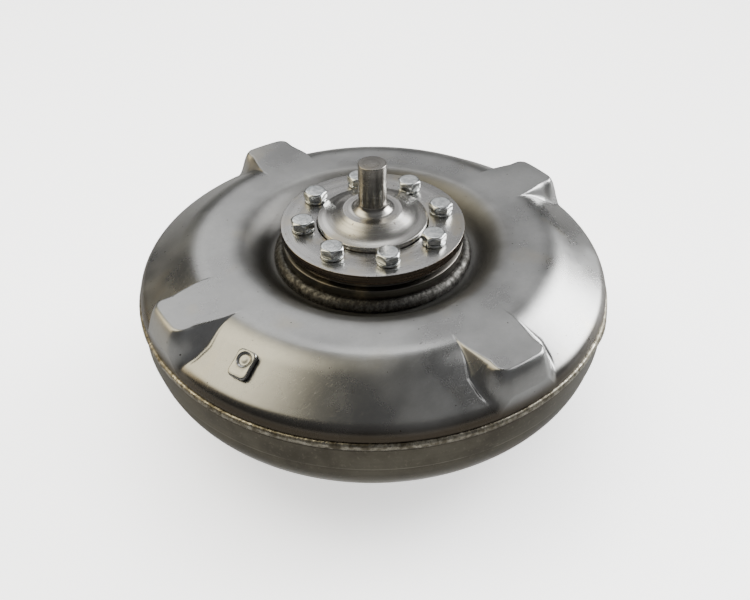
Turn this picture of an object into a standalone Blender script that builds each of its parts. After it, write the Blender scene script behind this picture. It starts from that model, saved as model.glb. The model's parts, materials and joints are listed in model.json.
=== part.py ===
"""Welded torque converter for an industrial truck: pump and cover housing, turbine, and a
stator on a roller one-way clutch. Run it with: blender --background --python part.py

Units are metres. Z is the axis of rotation and Z = 0 is the end face of the pump hub.
The cover's four lobes lie on +X, +Y, -X and -Y.
"""

import math

import bmesh
import bpy
from mathutils import Matrix, Vector

# ---------------------------------------------------------------- driving dimensions

SEAM_Z = 0.097  # height of the welded seam between cover and pump shell
RIM_R = 0.1455  # outer radius of the cover at the seam
PUMP_R = 0.146  # outer radius of the pump shell's band
PLATEAU_Z = 0.0284  # cover plateau above the seam
FLOOR_Z = 0.016  # cover's sunken centre above the seam
COVER_WALL = 0.0045
SHELL_WALL = 0.0046
GAP = 0.0003  # between pieces that touch on the real object

BOLT_COUNT = 8
BOLT_CIRCLE_R = 0.043
BOLT_R = 0.004  # M8
BOLT_FLATS = 0.013
BOLT_END_Z = 0.0190  # lower end of the bolts, above the seam
HEAD_H = 0.0050
WASHER_H = 0.0017
LOBE_COUNT = 4

RING_OUTER_R = 0.0564
RING_BORE_R = 0.0342
RING_TOP_Z = 0.0388  # clamp ring's top face above the seam
RING_H = 0.006
PILOT_R = 0.0085
PILOT_TOP_Z = 0.079  # above the seam
PILOT_FLANGE_R = 0.0337
PILOT_FLANGE_Z = 0.0417
STUB_R = 0.0120  # pilot's stub inside the boss

TORUS_R = 0.0945  # radius of the working circuit's centre
PUMP_MID_Z = -0.020  # pump's open side, from the seam
TURBINE_MID_Z = -0.018
TURBINE_WALL = 0.002
PUMP_BLADES = 27
TURBINE_BLADES = 25
STATOR_BLADES = 17
BLADE_T = 0.0012
BLADE_CLEAR = 0.0012  # between blades and the shell that carries them

HUB_OUTER_R = 0.025
HUB_BORE_R = 0.020
HUB_SLOT_W = 0.012
HUB_SLOT_DEPTH = 0.009

ROLLER_COUNT = 8
ROLLER_R = 0.004
RACE_R = 0.028  # one-way clutch inner race
RIVET_COUNT = 6
RIVET_CIRCLE_R = 0.051
RIVET_R = 0.003

SHELL_COLUMNS = 40  # faces round the large shells
HUB_COLUMNS = 32  # faces round the pieces at the centre
CORE_COLUMNS = 24  # faces round the small inner pieces
HOLE_COLUMNS = 8

HALF_BOLT_STEP = math.pi / BOLT_COUNT  # bolts sit half a step off the lobes
WEIGHT_ANGLE = math.radians(-156.8)
WELD_STOP_ANGLE = math.radians(-58.0)


FINISHES = {  # colour and roughness of each kind of surface; all of them are metal
    "pressed": ((0.50, 0.50, 0.49), 0.32),
    "pump": ((0.30, 0.29, 0.27), 0.42),
    "turned": ((0.62, 0.61, 0.59), 0.22),
    "zinc": ((0.78, 0.80, 0.80), 0.28),
    "weld": ((0.33, 0.31, 0.28), 0.60),
    "aluminium": ((0.66, 0.67, 0.68), 0.50),
    "bronze": ((0.60, 0.42, 0.20), 0.40),
}


# ---------------------------------------------------------------- scene and materials

def clear_scene():
    for old in list(bpy.data.objects):
        bpy.data.objects.remove(old)


def make_material(piece_name, finish):
    colour, roughness = FINISHES[finish]
    material = bpy.data.materials.new(f"{piece_name}_{finish}")
    material.use_nodes = True
    shader = material.node_tree.nodes["Principled BSDF"]
    shader.inputs["Base Color"].default_value = (*colour, 1.0)
    shader.inputs["Roughness"].default_value = roughness
    shader.inputs["Metallic"].default_value = 1.0
    return material


def make_body(name):
    """An empty on the axis at the seam's height. The pieces that move together hang from it."""
    body = bpy.data.objects.new(name, None)
    bpy.context.scene.collection.objects.link(body)
    body.location.z = SEAM_Z
    return body


# ---------------------------------------------------------------- mesh helpers

def polar(r, angle, z):
    return Vector((r * math.cos(angle), r * math.sin(angle), z))


def make_mesh(name, bm, finish, sharp_degrees=35.0):
    bmesh.ops.recalc_face_normals(bm, faces=bm.faces)
    mesh = bpy.data.meshes.new(name)
    bm.to_mesh(mesh)
    bm.free()
    mesh.shade_smooth()
    mesh.set_sharp_from_angle(angle=math.radians(sharp_degrees))
    mesh.materials.append(make_material(name, finish))
    return mesh


def add_object(name, mesh, body):
    obj = bpy.data.objects.new(name, mesh)
    bpy.context.scene.collection.objects.link(obj)
    obj.parent = body
    return obj


def finish_object(name, bm, finish, body, sharp_degrees=35.0):
    return add_object(name, make_mesh(name, bm, finish, sharp_degrees), body)


def place_on_circle(name, mesh, count, circle_r, first_angle, body):
    """Numbered copies of one mesh round the axis, each turned to face it."""
    for i in range(count):
        angle = first_angle + i * 2 * math.pi / count
        copy = add_object(f"{name}_{i + 1}", mesh, body)
        copy.location = polar(circle_r, angle, 0.0)
        copy.rotation_euler.z = angle


def turn(name, profile, columns, finish, body):
    """Spins a closed (r, z) profile round Z. A profile may start and end on the axis."""
    bm = bmesh.new()
    verts = [bm.verts.new((r, 0.0, z)) for r, z in profile]
    on_axis = [v for v, (r, _) in zip(verts, profile) if r == 0.0]
    pairs = list(zip(verts, verts[1:]))
    if not on_axis:
        pairs.append((verts[-1], verts[0]))
    edges = [bm.edges.new(pair) for pair in pairs]
    bmesh.ops.spin(
        bm, geom=verts + edges, cent=(0, 0, 0), axis=(0, 0, 1), dvec=(0, 0, 0),
        angle=2 * math.pi, steps=columns, use_merge=True,
    )
    bmesh.ops.remove_doubles(bm, verts=bm.verts, dist=1e-6)
    return finish_object(name, bm, finish, body)


def grid_ring(bm, columns):
    """Closes a list of equal point columns into one ring-shaped surface."""
    rings = [[bm.verts.new(point) for point in column] for column in columns]
    for left, right in zip(rings, rings[1:] + rings[:1]):
        for low in range(len(left)):
            high = (low + 1) % len(left)
            bm.faces.new((left[low], left[high], right[high], right[low]))


def add_prism(bm, outline, z_low, z_high):
    """An upright prism over a convex outline of (x, y) points."""
    low = [bm.verts.new((x, y, z_low)) for x, y in outline]
    high = [bm.verts.new((x, y, z_high)) for x, y in outline]
    bm.faces.new(reversed(low))
    bm.faces.new(high)
    count = len(outline)
    for i in range(count):
        j = (i + 1) % count
        bm.faces.new((low[i], low[j], high[j], high[i]))


def circle_outline(radius, columns, centre=Vector(), phase=0.0):
    step = 2 * math.pi / columns
    return [
        (centre.x + radius * math.cos(phase + i * step),
         centre.y + radius * math.sin(phase + i * step))
        for i in range(columns)
    ]


def add_round_prisms(bm, count, circle_r, radius, z_low, z_high, first_angle, columns):
    """Equal upright pins on a circle, each turned to face the axis."""
    for i in range(count):
        angle = first_angle + i * 2 * math.pi / count
        centre = polar(circle_r, angle, 0.0)
        outline = circle_outline(radius, columns, centre, angle)
        add_prism(bm, outline, z_low, z_high)


def hide_as_helper(obj):
    obj.hide_render = True
    obj.display_type = "WIRE"


def boolean(obj, other, operation):
    modifier = obj.modifiers.new(operation.title() + "_" + other.name, "BOOLEAN")
    modifier.operation = operation
    modifier.solver = "EXACT"
    modifier.object = other
    hide_as_helper(other)


def drill_circle(obj, count, circle_r, radius, z_low, z_high, first_angle):
    bm = bmesh.new()
    add_round_prisms(bm, count, circle_r, radius, z_low, z_high, first_angle, HOLE_COLUMNS)
    drill = finish_object(obj.name + "_drill", bm, "turned", obj.parent)
    boolean(obj, drill, "DIFFERENCE")


# ---------------------------------------------------------------- cover and pump shell

LOBE_TOP_HALF = (0.0175, 0.0153)  # half width of a lobe's flat top, at its root and its end
LOBE_FOOT_HALF = 0.0240  # half width of a lobe where it meets the dome
LOBE_ROOT_R, LOBE_END_R = 0.110, 0.138  # lobes grow out of the plateau and end near the rim


def cover_rows():
    """(dome r, z, lobe r, z) from the rim over the outside to the bore and back inside.
    Both are equal wherever a lobe doesn't change the shape. Heights are from the seam."""
    floor_in = FLOOR_Z - COVER_WALL
    top_in = PLATEAU_Z - COVER_WALL
    bore_r = 0.0298

    def same(r, z):
        return r, z, r, z

    return [
        same(0.1437, -GAP), same(RIM_R - 0.0008, -GAP), same(RIM_R, 0.0010),
        same(RIM_R, 0.0055),
        (0.1438, 0.0087, 0.1430, 0.0150), (0.1408, 0.0110, 0.1406, 0.0240),
        (0.1330, 0.0157, 0.1382, 0.0272), (0.1235, 0.0214, 0.1345, PLATEAU_Z),
        (0.1150, 0.0266, 0.1200, PLATEAU_Z), same(LOBE_ROOT_R, PLATEAU_Z),
        same(0.0850, 0.0280), same(0.0780, 0.0258), same(0.0715, 0.0213),
        same(0.0655, FLOOR_Z), same(bore_r, FLOOR_Z),
        same(bore_r, floor_in), same(0.0680, floor_in), same(0.0785, 0.0202),
        same(0.0860, top_in), (0.1085, 0.0236, 0.1120, top_in),
        (0.1220, 0.0164, 0.1300, top_in), (0.1375, 0.0072, 0.1355, 0.0215),
        same(0.1410, 0.0048), same(0.1437, 0.0040),
    ]


def cover_point(row, lobe, place):
    """A point of one row. Place 0 to 4 is across a lobe, and above that on the dome."""
    dome_r, dome_z, lobe_r, lobe_z = row
    r, z = (lobe_r, lobe_z) if place in (1, 2, 3) else (dome_r, dome_z)
    reach = min(max((r - LOBE_ROOT_R) / (LOBE_END_R - LOBE_ROOT_R), 0.0), 1.0)
    top_half = LOBE_TOP_HALF[0] + (LOBE_TOP_HALF[1] - LOBE_TOP_HALF[0]) * reach
    measured_r = max(r, LOBE_ROOT_R)
    foot = math.asin(LOBE_FOOT_HALF / measured_r)
    top = math.asin(top_half / measured_r)
    quarter = 2 * math.pi / LOBE_COUNT
    if place < 5:
        angle = (-foot, -top, 0.0, top, foot)[place]
    else:
        steps = SHELL_COLUMNS // LOBE_COUNT - 4
        angle = foot + (quarter - 2 * foot) * (place - 4) / steps
    return polar(r, angle + lobe * quarter, z)


def build_front_cover(body):
    bm = bmesh.new()
    places = SHELL_COLUMNS // LOBE_COUNT
    grid_ring(bm, [
        [cover_point(row, lobe, place) for row in cover_rows()]
        for lobe in range(LOBE_COUNT)
        for place in range(places)
    ])
    finish_object("front_cover", bm, "pressed", body, 28.0)


def ellipse(centre_r, centre_z, half_r, half_z, start, stop, steps):
    """Points of an elliptic arc in the (r, z) plane. Angles are in degrees."""
    angles = [start + (stop - start) * i / steps for i in range(steps + 1)]
    return [
        (centre_r + half_r * math.cos(math.radians(a)),
         centre_z + half_z * math.sin(math.radians(a)))
        for a in angles
    ]


PUMP_OUT_A, PUMP_OUT_B = 0.0515, 0.0395  # half axes of the pump bowl, outside
PUMP_IN_A, PUMP_IN_B = PUMP_OUT_A - SHELL_WALL, PUMP_OUT_B - SHELL_WALL
FLANGE_LOW_Z, FLANGE_TOP_Z = -0.0448, -0.0403  # pump shell's inner flange, from the seam
FLANGE_BORE_R = 0.0380
SPIGOT_R = 0.1428  # pump shell's lip inside the cover


def build_pump_shell(body):
    """Bowl with a straight band below the seam and a spigot that locates in the cover."""
    bowl = ellipse(TORUS_R, PUMP_MID_Z, PUMP_OUT_A, PUMP_OUT_B, 0, -128, 7)
    inside = ellipse(TORUS_R + 0.0002, PUMP_MID_Z, PUMP_IN_A, PUMP_IN_B, -132, 0, 6)
    profile = [
        (SPIGOT_R, 0.0035), (SPIGOT_R, -0.0026), (0.1440, -0.0026), (PUMP_R, -0.0050),
        *bowl, (0.0540, FLANGE_LOW_Z), (FLANGE_BORE_R, FLANGE_LOW_Z),
        (FLANGE_BORE_R, FLANGE_TOP_Z), (0.0540, FLANGE_TOP_Z), *inside,
        (SPIGOT_R - 0.0016, 0.0035),
    ]
    turn("pump_shell", profile, SHELL_COLUMNS, "pump", body)


def build_seam_weld(body):
    """The bead in the seam's groove, with the lump left where the weld run stopped."""
    section = [
        (0.1441, -0.0008), (0.1450, -0.0008), (0.1463, 0.0009), (0.1471, 0.0002),
        (0.1474, -0.0020), (0.1468, -0.0042), (0.1441, -0.0023),
    ]
    bm = bmesh.new()
    columns = []
    for i in range(SHELL_COLUMNS):
        angle = 2 * math.pi * i / SHELL_COLUMNS
        away = abs((angle - WELD_STOP_ANGLE + math.pi) % (2 * math.pi) - math.pi)
        lump = 0.0018 * max(0.0, 1.0 - (away / math.radians(9.0)) ** 2)
        columns.append([
            polar(r + (lump if r > 0.1465 else 0.0), angle, z) for r, z in section
        ])
    grid_ring(bm, columns)
    finish_object("seam_weld_bead", bm, "weld", body)


WEIGHT_LIFT = 0.0006  # keeps the flat plate clear of the round slope


def build_balance_weight(body):
    """A small rounded steel plate, lying on the dome's slope."""
    dome_r, dome_z = 0.1270, 0.0197  # the point on the slope under its middle
    slope = math.atan2(0.0284 - 0.0112, 0.1414 - 0.1120)
    half_w, half_l, thick, corner = 0.0058, 0.0080, 0.0028, 0.0022
    outline = []
    for sx, sy, first in ((1, 1, 0), (-1, 1, 90), (-1, -1, 180), (1, -1, 270)):
        for turn_by in (0, 45, 90):
            a = math.radians(first + turn_by)
            outline.append((
                sx * (half_l - corner) + corner * math.cos(a),
                sy * (half_w - corner) + corner * math.sin(a),
            ))
    bm = bmesh.new()
    add_prism(bm, outline, WEIGHT_LIFT, WEIGHT_LIFT + thick)
    weight = finish_object("balance_weight", bm, "zinc", body)
    weight.location = polar(dome_r, WEIGHT_ANGLE, dome_z)
    weight.rotation_euler = (0.0, slope, WEIGHT_ANGLE)


# ---------------------------------------------------------------- drive end

def build_drive_boss(body):
    """Forged disc welded into the cover's bore. The pilot's stub is pressed into it."""
    seat_z = 0.0300
    top_z = RING_TOP_Z - RING_H - GAP
    profile = [
        (0.0, 0.0105), (0.0294, 0.0105), (0.0294, FLOOR_Z + GAP),
        (0.0560, FLOOR_Z + GAP), (0.0560, 0.0270), (0.0550, 0.0280),
        (0.0520, 0.0284), (0.0520, top_z), (0.0342, top_z), (0.0342, seat_z),
        (STUB_R + GAP, seat_z), (STUB_R + GAP, 0.0200), (0.0, 0.0200),
    ]
    boss = turn("drive_boss", profile, HUB_COLUMNS, "turned", body)
    drill_circle(
        boss, BOLT_COUNT, BOLT_CIRCLE_R, BOLT_R + GAP, 0.0175, 0.040, HALF_BOLT_STEP,
    )


def build_boss_weld(body):
    """Heavy fillet bead between the drive boss and the cover's floor."""
    profile = [
        (0.0563, FLOOR_Z + GAP), (0.0563, 0.0256), (0.0590, 0.0254),
        (0.0618, 0.0234), (0.0634, 0.0200), (0.0636, FLOOR_Z + GAP),
    ]
    turn("boss_weld_bead", profile, HUB_COLUMNS, "weld", body)


def build_clamp_ring(body):
    low = RING_TOP_Z - RING_H
    chamfer = 0.0005
    profile = [
        (RING_BORE_R, low), (RING_OUTER_R, low), (RING_OUTER_R, RING_TOP_Z - chamfer),
        (RING_OUTER_R - chamfer, RING_TOP_Z), (RING_BORE_R, RING_TOP_Z),
    ]
    ring = turn("clamp_ring", profile, HUB_COLUMNS, "turned", body)
    drill_circle(
        ring, BOLT_COUNT, BOLT_CIRCLE_R, BOLT_R + 0.0005, low - 0.005, RING_TOP_Z + 0.005,
        HALF_BOLT_STEP,
    )


def build_pilot_shaft(body):
    """Pilot journal on a shallow cone, with a stub below for the boss."""
    profile = [
        (0.0, 0.0203), (STUB_R, 0.0203), (STUB_R, 0.0303),
        (PILOT_FLANGE_R, 0.0303), (PILOT_FLANGE_R, PILOT_FLANGE_Z),
        (0.0262, 0.0435), (0.0190, 0.0466), (0.0182, 0.0478), (0.0128, 0.0480),
        (0.0100, 0.0489), (PILOT_R, 0.0512), (PILOT_R, PILOT_TOP_Z - 0.0007),
        (PILOT_R - 0.0007, PILOT_TOP_Z), (0.0, PILOT_TOP_Z),
    ]
    turn("pilot_shaft", profile, 24, "turned", body)


def build_bolts(body):
    """Hexagon bolts with a chamfered head, each on a split spring washer."""
    head_z = RING_TOP_Z + WASHER_H + 2 * GAP
    chamfer_h, chamfered_share = 0.0009, 0.84
    corner_r = BOLT_FLATS / math.sqrt(3.0)
    bm = bmesh.new()
    shank = add_outlines(bm, [
        (circle_outline(BOLT_R, HOLE_COLUMNS), BOLT_END_Z),
        (circle_outline(BOLT_R, HOLE_COLUMNS), head_z),
    ])
    bm.faces.new(shank[0])
    head = add_outlines(bm, [
        (circle_outline(corner_r, 6), head_z),
        (circle_outline(corner_r, 6), head_z + HEAD_H - chamfer_h),
        (circle_outline(corner_r * chamfered_share, 6), head_z + HEAD_H),
    ])
    bm.faces.new(head[-1])
    under = [
        bm.edges.get((ring[k], ring[(k + 1) % len(ring)]))
        for ring in (shank[-1], head[0])
        for k in range(len(ring))
    ]
    bmesh.ops.bridge_loops(bm, edges=under)
    mesh = make_mesh("ring_bolt", bm, "zinc")
    place_on_circle("ring_bolt", mesh, BOLT_COUNT, BOLT_CIRCLE_R, HALF_BOLT_STEP, body)


def add_outlines(bm, outlines):
    """Adds (outline, z) loops, joins each to the next and returns them."""
    rings = [[bm.verts.new((x, y, z)) for x, y in outline] for outline, z in outlines]
    for low, high in zip(rings, rings[1:]):
        join_rings(bm, low, high)
    return rings


def join_rings(bm, low, high):
    count = len(low)
    for i in range(count):
        j = (i + 1) % count
        bm.faces.new((low[i], low[j], high[j], high[i]))


def build_lock_washers(body):
    """Split spring washers, each an open ring with a slit."""
    inner_r, outer_r, slit = 0.0045, 0.0070, math.radians(10.0)
    slit_angle = math.radians(65.0)
    low = RING_TOP_Z + GAP
    bm = bmesh.new()
    add_open_ring(bm, inner_r, outer_r, low, low + WASHER_H, slit, slit_angle, HOLE_COLUMNS)
    mesh = make_mesh("spring_washer", bm, "zinc")
    place_on_circle("spring_washer", mesh, BOLT_COUNT, BOLT_CIRCLE_R, HALF_BOLT_STEP, body)


def add_open_ring(bm, inner_r, outer_r, low, high, opening, first, steps):
    """A flat ring whose ends stop at both sides of an opening."""
    columns = []
    for k in range(steps + 1):
        angle = first + opening / 2 + (2 * math.pi - opening) * k / steps
        columns.append([
            bm.verts.new(polar(r, angle, z))
            for r, z in ((inner_r, low), (outer_r, low), (outer_r, high), (inner_r, high))
        ])
    for left, right in zip(columns, columns[1:]):
        join_rings(bm, left, right)
    bm.faces.new(columns[0])
    bm.faces.new(columns[-1])


# ---------------------------------------------------------------- bladed wheels

CORE_STEP_DEGREES = 45  # the core ring's facets, which the blades' stations follow
BLADE_START_DEGREES = 3


def add_blade(bm, root_angle, stations):
    """One sheet blade. A station is (core r, z), (shell r, z) and its sweep in degrees."""
    rows = []
    for core, shell, sweep in stations:
        row = []
        for (r, z), side in ((core, -1), (shell, -1), (shell, 1), (core, 1)):
            angle = root_angle + math.radians(sweep) + side * BLADE_T / 2 / r
            row.append(bm.verts.new(polar(r, angle, z)))
        rows.append(row)
    for low, high in zip(rows, rows[1:]):
        join_rings(bm, low, high)
    bm.faces.new(rows[0])
    bm.faces.new(rows[-1])


def blade_stations(mid_z, half_axes, sign, sweeps):
    """Stations from a wheel's outer edge round the circuit to its inner edge."""
    core_a, core_b = 0.0172, 0.0122
    stations = []
    for i, sweep in enumerate(sweeps):
        a = math.radians(max(BLADE_START_DEGREES, i * CORE_STEP_DEGREES))
        core = (TORUS_R + core_a * math.cos(a), mid_z + sign * core_b * math.sin(a))
        shell = (TORUS_R + half_axes[0] * math.cos(a),
                 mid_z + sign * half_axes[1] * math.sin(a))
        stations.append((core, shell, sweep))
    return stations


def build_blade_cage(name, mid_z, half_axes, sign, count, sweeps, body):
    """Blades brazed to a half-round core ring, as one piece."""
    half_turn = sign * 4 * CORE_STEP_DEGREES
    outer = ellipse(TORUS_R, mid_z, 0.0183, 0.0133, 0, half_turn, 4)
    inner = ellipse(TORUS_R, mid_z, 0.0161, 0.0111, half_turn, 0, 4)
    core = turn(name, outer + inner, CORE_COLUMNS, "pressed", body)
    bm = bmesh.new()
    stations = blade_stations(mid_z, half_axes, sign, sweeps)
    for i in range(count):
        add_blade(bm, 2 * math.pi * i / count, stations)
    bmesh.ops.triangulate(bm, faces=bm.faces)
    blades = finish_object(name + "_blades", bm, "pressed", body)
    boolean(core, blades, "UNION")


def build_pump_blades(body):
    half_axes = (PUMP_IN_A - BLADE_CLEAR, PUMP_IN_B - BLADE_CLEAR)
    sweeps = (0, 1, 3, 8)
    build_blade_cage(
        "pump_blade_cage", PUMP_MID_Z - 0.0006, half_axes, -1, PUMP_BLADES, sweeps, body
    )


TURBINE_OUT_A, TURBINE_OUT_B = 0.0440, 0.0340
TURBINE_IN_A, TURBINE_IN_B = TURBINE_OUT_A - TURBINE_WALL, TURBINE_OUT_B - TURBINE_WALL


def build_turbine(body):
    bowl = ellipse(TORUS_R, TURBINE_MID_Z, TURBINE_OUT_A, TURBINE_OUT_B, 0, 138, 5)
    inside = ellipse(TORUS_R, TURBINE_MID_Z, TURBINE_IN_A, TURBINE_IN_B, 140, 0, 6)
    profile = [*bowl, (0.0560, 0.0040), (0.0450, 0.0040), (0.0450, 0.0020),
               (0.0570, 0.0020), *inside]
    shell = turn("turbine_shell", profile, HUB_COLUMNS, "pressed", body)
    drill_circle(
        shell, RIVET_COUNT, RIVET_CIRCLE_R, RIVET_R + GAP, -0.002, 0.008, 0.0,
    )
    half_axes = (TURBINE_IN_A - BLADE_CLEAR, TURBINE_IN_B - BLADE_CLEAR)
    sweeps = (0, -9, -12, -6)
    build_blade_cage(
        "turbine_blade_cage", TURBINE_MID_Z, half_axes, 1, TURBINE_BLADES, sweeps, body
    )


def serrated_turn(name, profile, bore_rows, tooth_depth, columns, finish, body):
    """Turns a profile with every other column of its bore cut back, as a fine spline."""
    bm = bmesh.new()
    grid_ring(bm, [
        [
            polar(r + (tooth_depth if row in bore_rows and i % 2 else 0.0),
                  2 * math.pi * i / columns, z)
            for row, (r, z) in enumerate(profile)
        ]
        for i in range(columns)
    ])
    return finish_object(name, bm, finish, body)


def build_turbine_hub(body):
    profile = [
        (0.0128, -0.0013), (0.0285, -0.0013), (0.0285, 0.0043), (0.0580, 0.0043),
        (0.0580, 0.0072), (0.0270, 0.0078), (0.0128, 0.0078),
    ]
    hub = serrated_turn(
        "turbine_hub", profile, (0, 6), 0.0012, SHELL_COLUMNS, "turned", body
    )
    drill_circle(
        hub, RIVET_COUNT, RIVET_CIRCLE_R, RIVET_R + GAP, 0.002, 0.012, 0.0,
    )


def build_rivets(body):
    head_r, crown_r = 0.0048, 0.0028
    heights = [
        (crown_r, 0.0000), (head_r, 0.0017), (RIVET_R, 0.0017),
        (RIVET_R, 0.0075), (head_r, 0.0075), (crown_r, 0.0092),
    ]
    bm = bmesh.new()
    rings = add_outlines(bm, [(circle_outline(r, HOLE_COLUMNS), z) for r, z in heights])
    bm.faces.new(rings[0])
    bm.faces.new(rings[-1])
    mesh = make_mesh("turbine_rivet", bm, "turned")
    place_on_circle("turbine_rivet", mesh, RIVET_COUNT, RIVET_CIRCLE_R, 0.0, body)


# ---------------------------------------------------------------- stator and its clutch

STATOR_BORE_R = 0.0446
STATOR_HUB_R = 0.0500
STATOR_BAND_R = 0.0724
STATOR_LOW_Z, STATOR_TOP_Z = -0.0335, -0.0045
GROOVE_R = 0.0461
GROOVE_W = 0.0016


def build_stator_wheel(body):
    """Cast wheel: grooved hub, aerofoil blades and an outer band."""
    low_groove, top_groove = STATOR_LOW_Z + 0.0010, STATOR_TOP_Z - 0.0010
    hub_profile = [
        (STATOR_BORE_R, STATOR_LOW_Z), (STATOR_HUB_R - 0.001, STATOR_LOW_Z),
        (STATOR_HUB_R, STATOR_LOW_Z + 0.001), (STATOR_HUB_R, STATOR_TOP_Z - 0.001),
        (STATOR_HUB_R - 0.001, STATOR_TOP_Z), (STATOR_BORE_R, STATOR_TOP_Z),
        (STATOR_BORE_R, top_groove), (GROOVE_R, top_groove),
        (GROOVE_R, top_groove - GROOVE_W), (STATOR_BORE_R, top_groove - GROOVE_W),
        (STATOR_BORE_R, low_groove + GROOVE_W), (GROOVE_R, low_groove + GROOVE_W),
        (GROOVE_R, low_groove), (STATOR_BORE_R, low_groove),
    ]
    wheel = turn("stator_wheel", hub_profile, CORE_COLUMNS, "aluminium", body)
    band_outer_r = STATOR_BAND_R + 0.0022
    band_profile = [
        (STATOR_BAND_R, -0.0270), (band_outer_r, -0.0270),
        (band_outer_r, -0.0110), (STATOR_BAND_R, -0.0110),
    ]
    band = turn("stator_band", band_profile, CORE_COLUMNS, "aluminium", body)
    bm = bmesh.new()
    for i in range(STATOR_BLADES):
        add_stator_blade(bm, 2 * math.pi * i / STATOR_BLADES)
    blades = finish_object("stator_blades", bm, "aluminium", body)
    boolean(wheel, blades, "UNION")
    boolean(wheel, band, "UNION")


def add_stator_blade(bm, root_angle):
    """An aerofoil: blunt nose up, thin tail down, swept sideways on its way."""
    inner_r, outer_r = STATOR_HUB_R - 0.0012, STATOR_BAND_R + 0.0011
    outer_share = 0.92  # the section at the band, against the one at the hub
    middle_z = -0.0190
    section = [  # (sideways, z from the seam) round the aerofoil
        (0.0006, -0.0078), (0.0032, -0.0112), (0.0030, -0.0175),
        (-0.0056, -0.0290), (-0.0032, -0.0195), (-0.0022, -0.0110),
    ]
    spin = Matrix.Rotation(root_angle, 3, "Z")
    rings = []
    for r, share in ((inner_r, 1.0), (outer_r, outer_share)):
        rings.append([
            bm.verts.new(spin @ Vector((r, side * share, middle_z + (z - middle_z) * share)))
            for side, z in section
        ])
    join_rings(bm, rings[0], rings[1])
    bm.faces.new(rings[0])
    bm.faces.new(rings[1])


def build_clutch_cam(body):
    """Outer race with a ramped pocket for each roller."""
    outer_r, land_r, shallow_r, deep_r = 0.0438, 0.0342, 0.0367, 0.0376
    low, high = -0.0295, -0.0085
    pocket = [  # (share of a pocket's pitch, radius)
        (0.00, land_r), (0.16, land_r), (0.20, shallow_r), (0.50, 0.0370), (0.84, deep_r),
        (0.88, land_r),
    ]
    pitch = 2 * math.pi / ROLLER_COUNT
    bm = bmesh.new()
    columns = []
    for i in range(ROLLER_COUNT):
        for share, r in pocket:
            angle = (i - 0.5 + share) * pitch
            columns.append([
                polar(r, angle, low), polar(outer_r, angle, low),
                polar(outer_r, angle, high), polar(r, angle, high),
            ])
    grid_ring(bm, columns)
    finish_object("clutch_cam", bm, "turned", body)


def build_clutch_rollers(roller_bodies):
    """One roller on each of the empties that stand on the rollers' own axes."""
    columns = 10
    low, high = -0.0275, -0.0105
    bm = bmesh.new()
    add_prism(bm, circle_outline(ROLLER_R, columns), low, high)
    mesh = make_mesh("clutch_roller", bm, "turned")
    for number, roller_body in enumerate(roller_bodies, 1):
        add_object(f"clutch_roller_{number}", mesh, roller_body)


def build_roller_cage(body):
    """Two thin rings tied by eight bars, one between each two rollers."""
    inner_r, outer_r = 0.0285, 0.0335
    bar_low, bar_high = -0.0288, -0.0092
    ring_h = 0.0010
    bars = bmesh.new()
    half_bar = math.radians(5.0)
    inset = 0.0002  # keeps the bars' ends inside the rings
    for i in range(ROLLER_COUNT):
        angle = (i + 0.5) * 2 * math.pi / ROLLER_COUNT
        corners = [polar(r, angle + side * half_bar, 0.0)
                   for r, side in ((0.0290, -1), (0.0330, -1), (0.0330, 1), (0.0290, 1))]
        outline = [(corner.x, corner.y) for corner in corners]
        add_prism(bars, outline, bar_low + inset, bar_high - inset)
    ring_sections = {
        "roller_cage": (bar_low, bar_low + ring_h),
        "roller_cage_top": (bar_high - ring_h, bar_high),
    }
    rings = []
    for name, (low, high) in ring_sections.items():
        section = [(inner_r, low), (outer_r, low), (outer_r, high), (inner_r, high)]
        rings.append(turn(name, section, CORE_COLUMNS, "bronze", body))
    boolean(rings[0], finish_object("roller_cage_bars", bars, "bronze", body), "UNION")
    boolean(rings[0], rings[1], "UNION")


def build_clutch_sides(body):
    """Side plates, and the snap rings that hold them in the stator hub."""
    spans = {
        "clutch_rear_plate": (-0.0308, -0.0298, 0.0286, 0.0438),
        "clutch_front_plate": (-0.0082, -0.0072, 0.0286, 0.0438),
    }
    for name, (low, high, inner_r, outer_r) in spans.items():
        profile = [(inner_r, low), (outer_r, low), (outer_r, high), (inner_r, high)]
        turn(name, profile, CORE_COLUMNS, "bronze", body)
    grooves = {
        "rear_snap_ring": STATOR_LOW_Z + 0.0010 + GAP / 2,
        "front_snap_ring": STATOR_TOP_Z - 0.0010 - GROOVE_W + GAP / 2,
    }
    ring_inner_r, ring_outer_r, opening = 0.0418, 0.0457, math.radians(16.0)
    for name, low in grooves.items():
        high = low + GROOVE_W - GAP
        bm = bmesh.new()
        add_open_ring(bm, ring_inner_r, ring_outer_r, low, high, opening, 0.0, CORE_COLUMNS)
        finish_object(name, bm, "turned", body)


def build_inner_race(body):
    profile = [
        (0.0172, -0.0337), (0.0265, -0.0337), (RACE_R, -0.0325), (RACE_R, -0.0068),
        (0.0265, -0.0056), (0.0172, -0.0056),
    ]
    serrated_turn(
        "clutch_inner_race", profile, (0, 5), 0.0012, SHELL_COLUMNS, "turned", body
    )


# ---------------------------------------------------------------- bearings and pump hub

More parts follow.
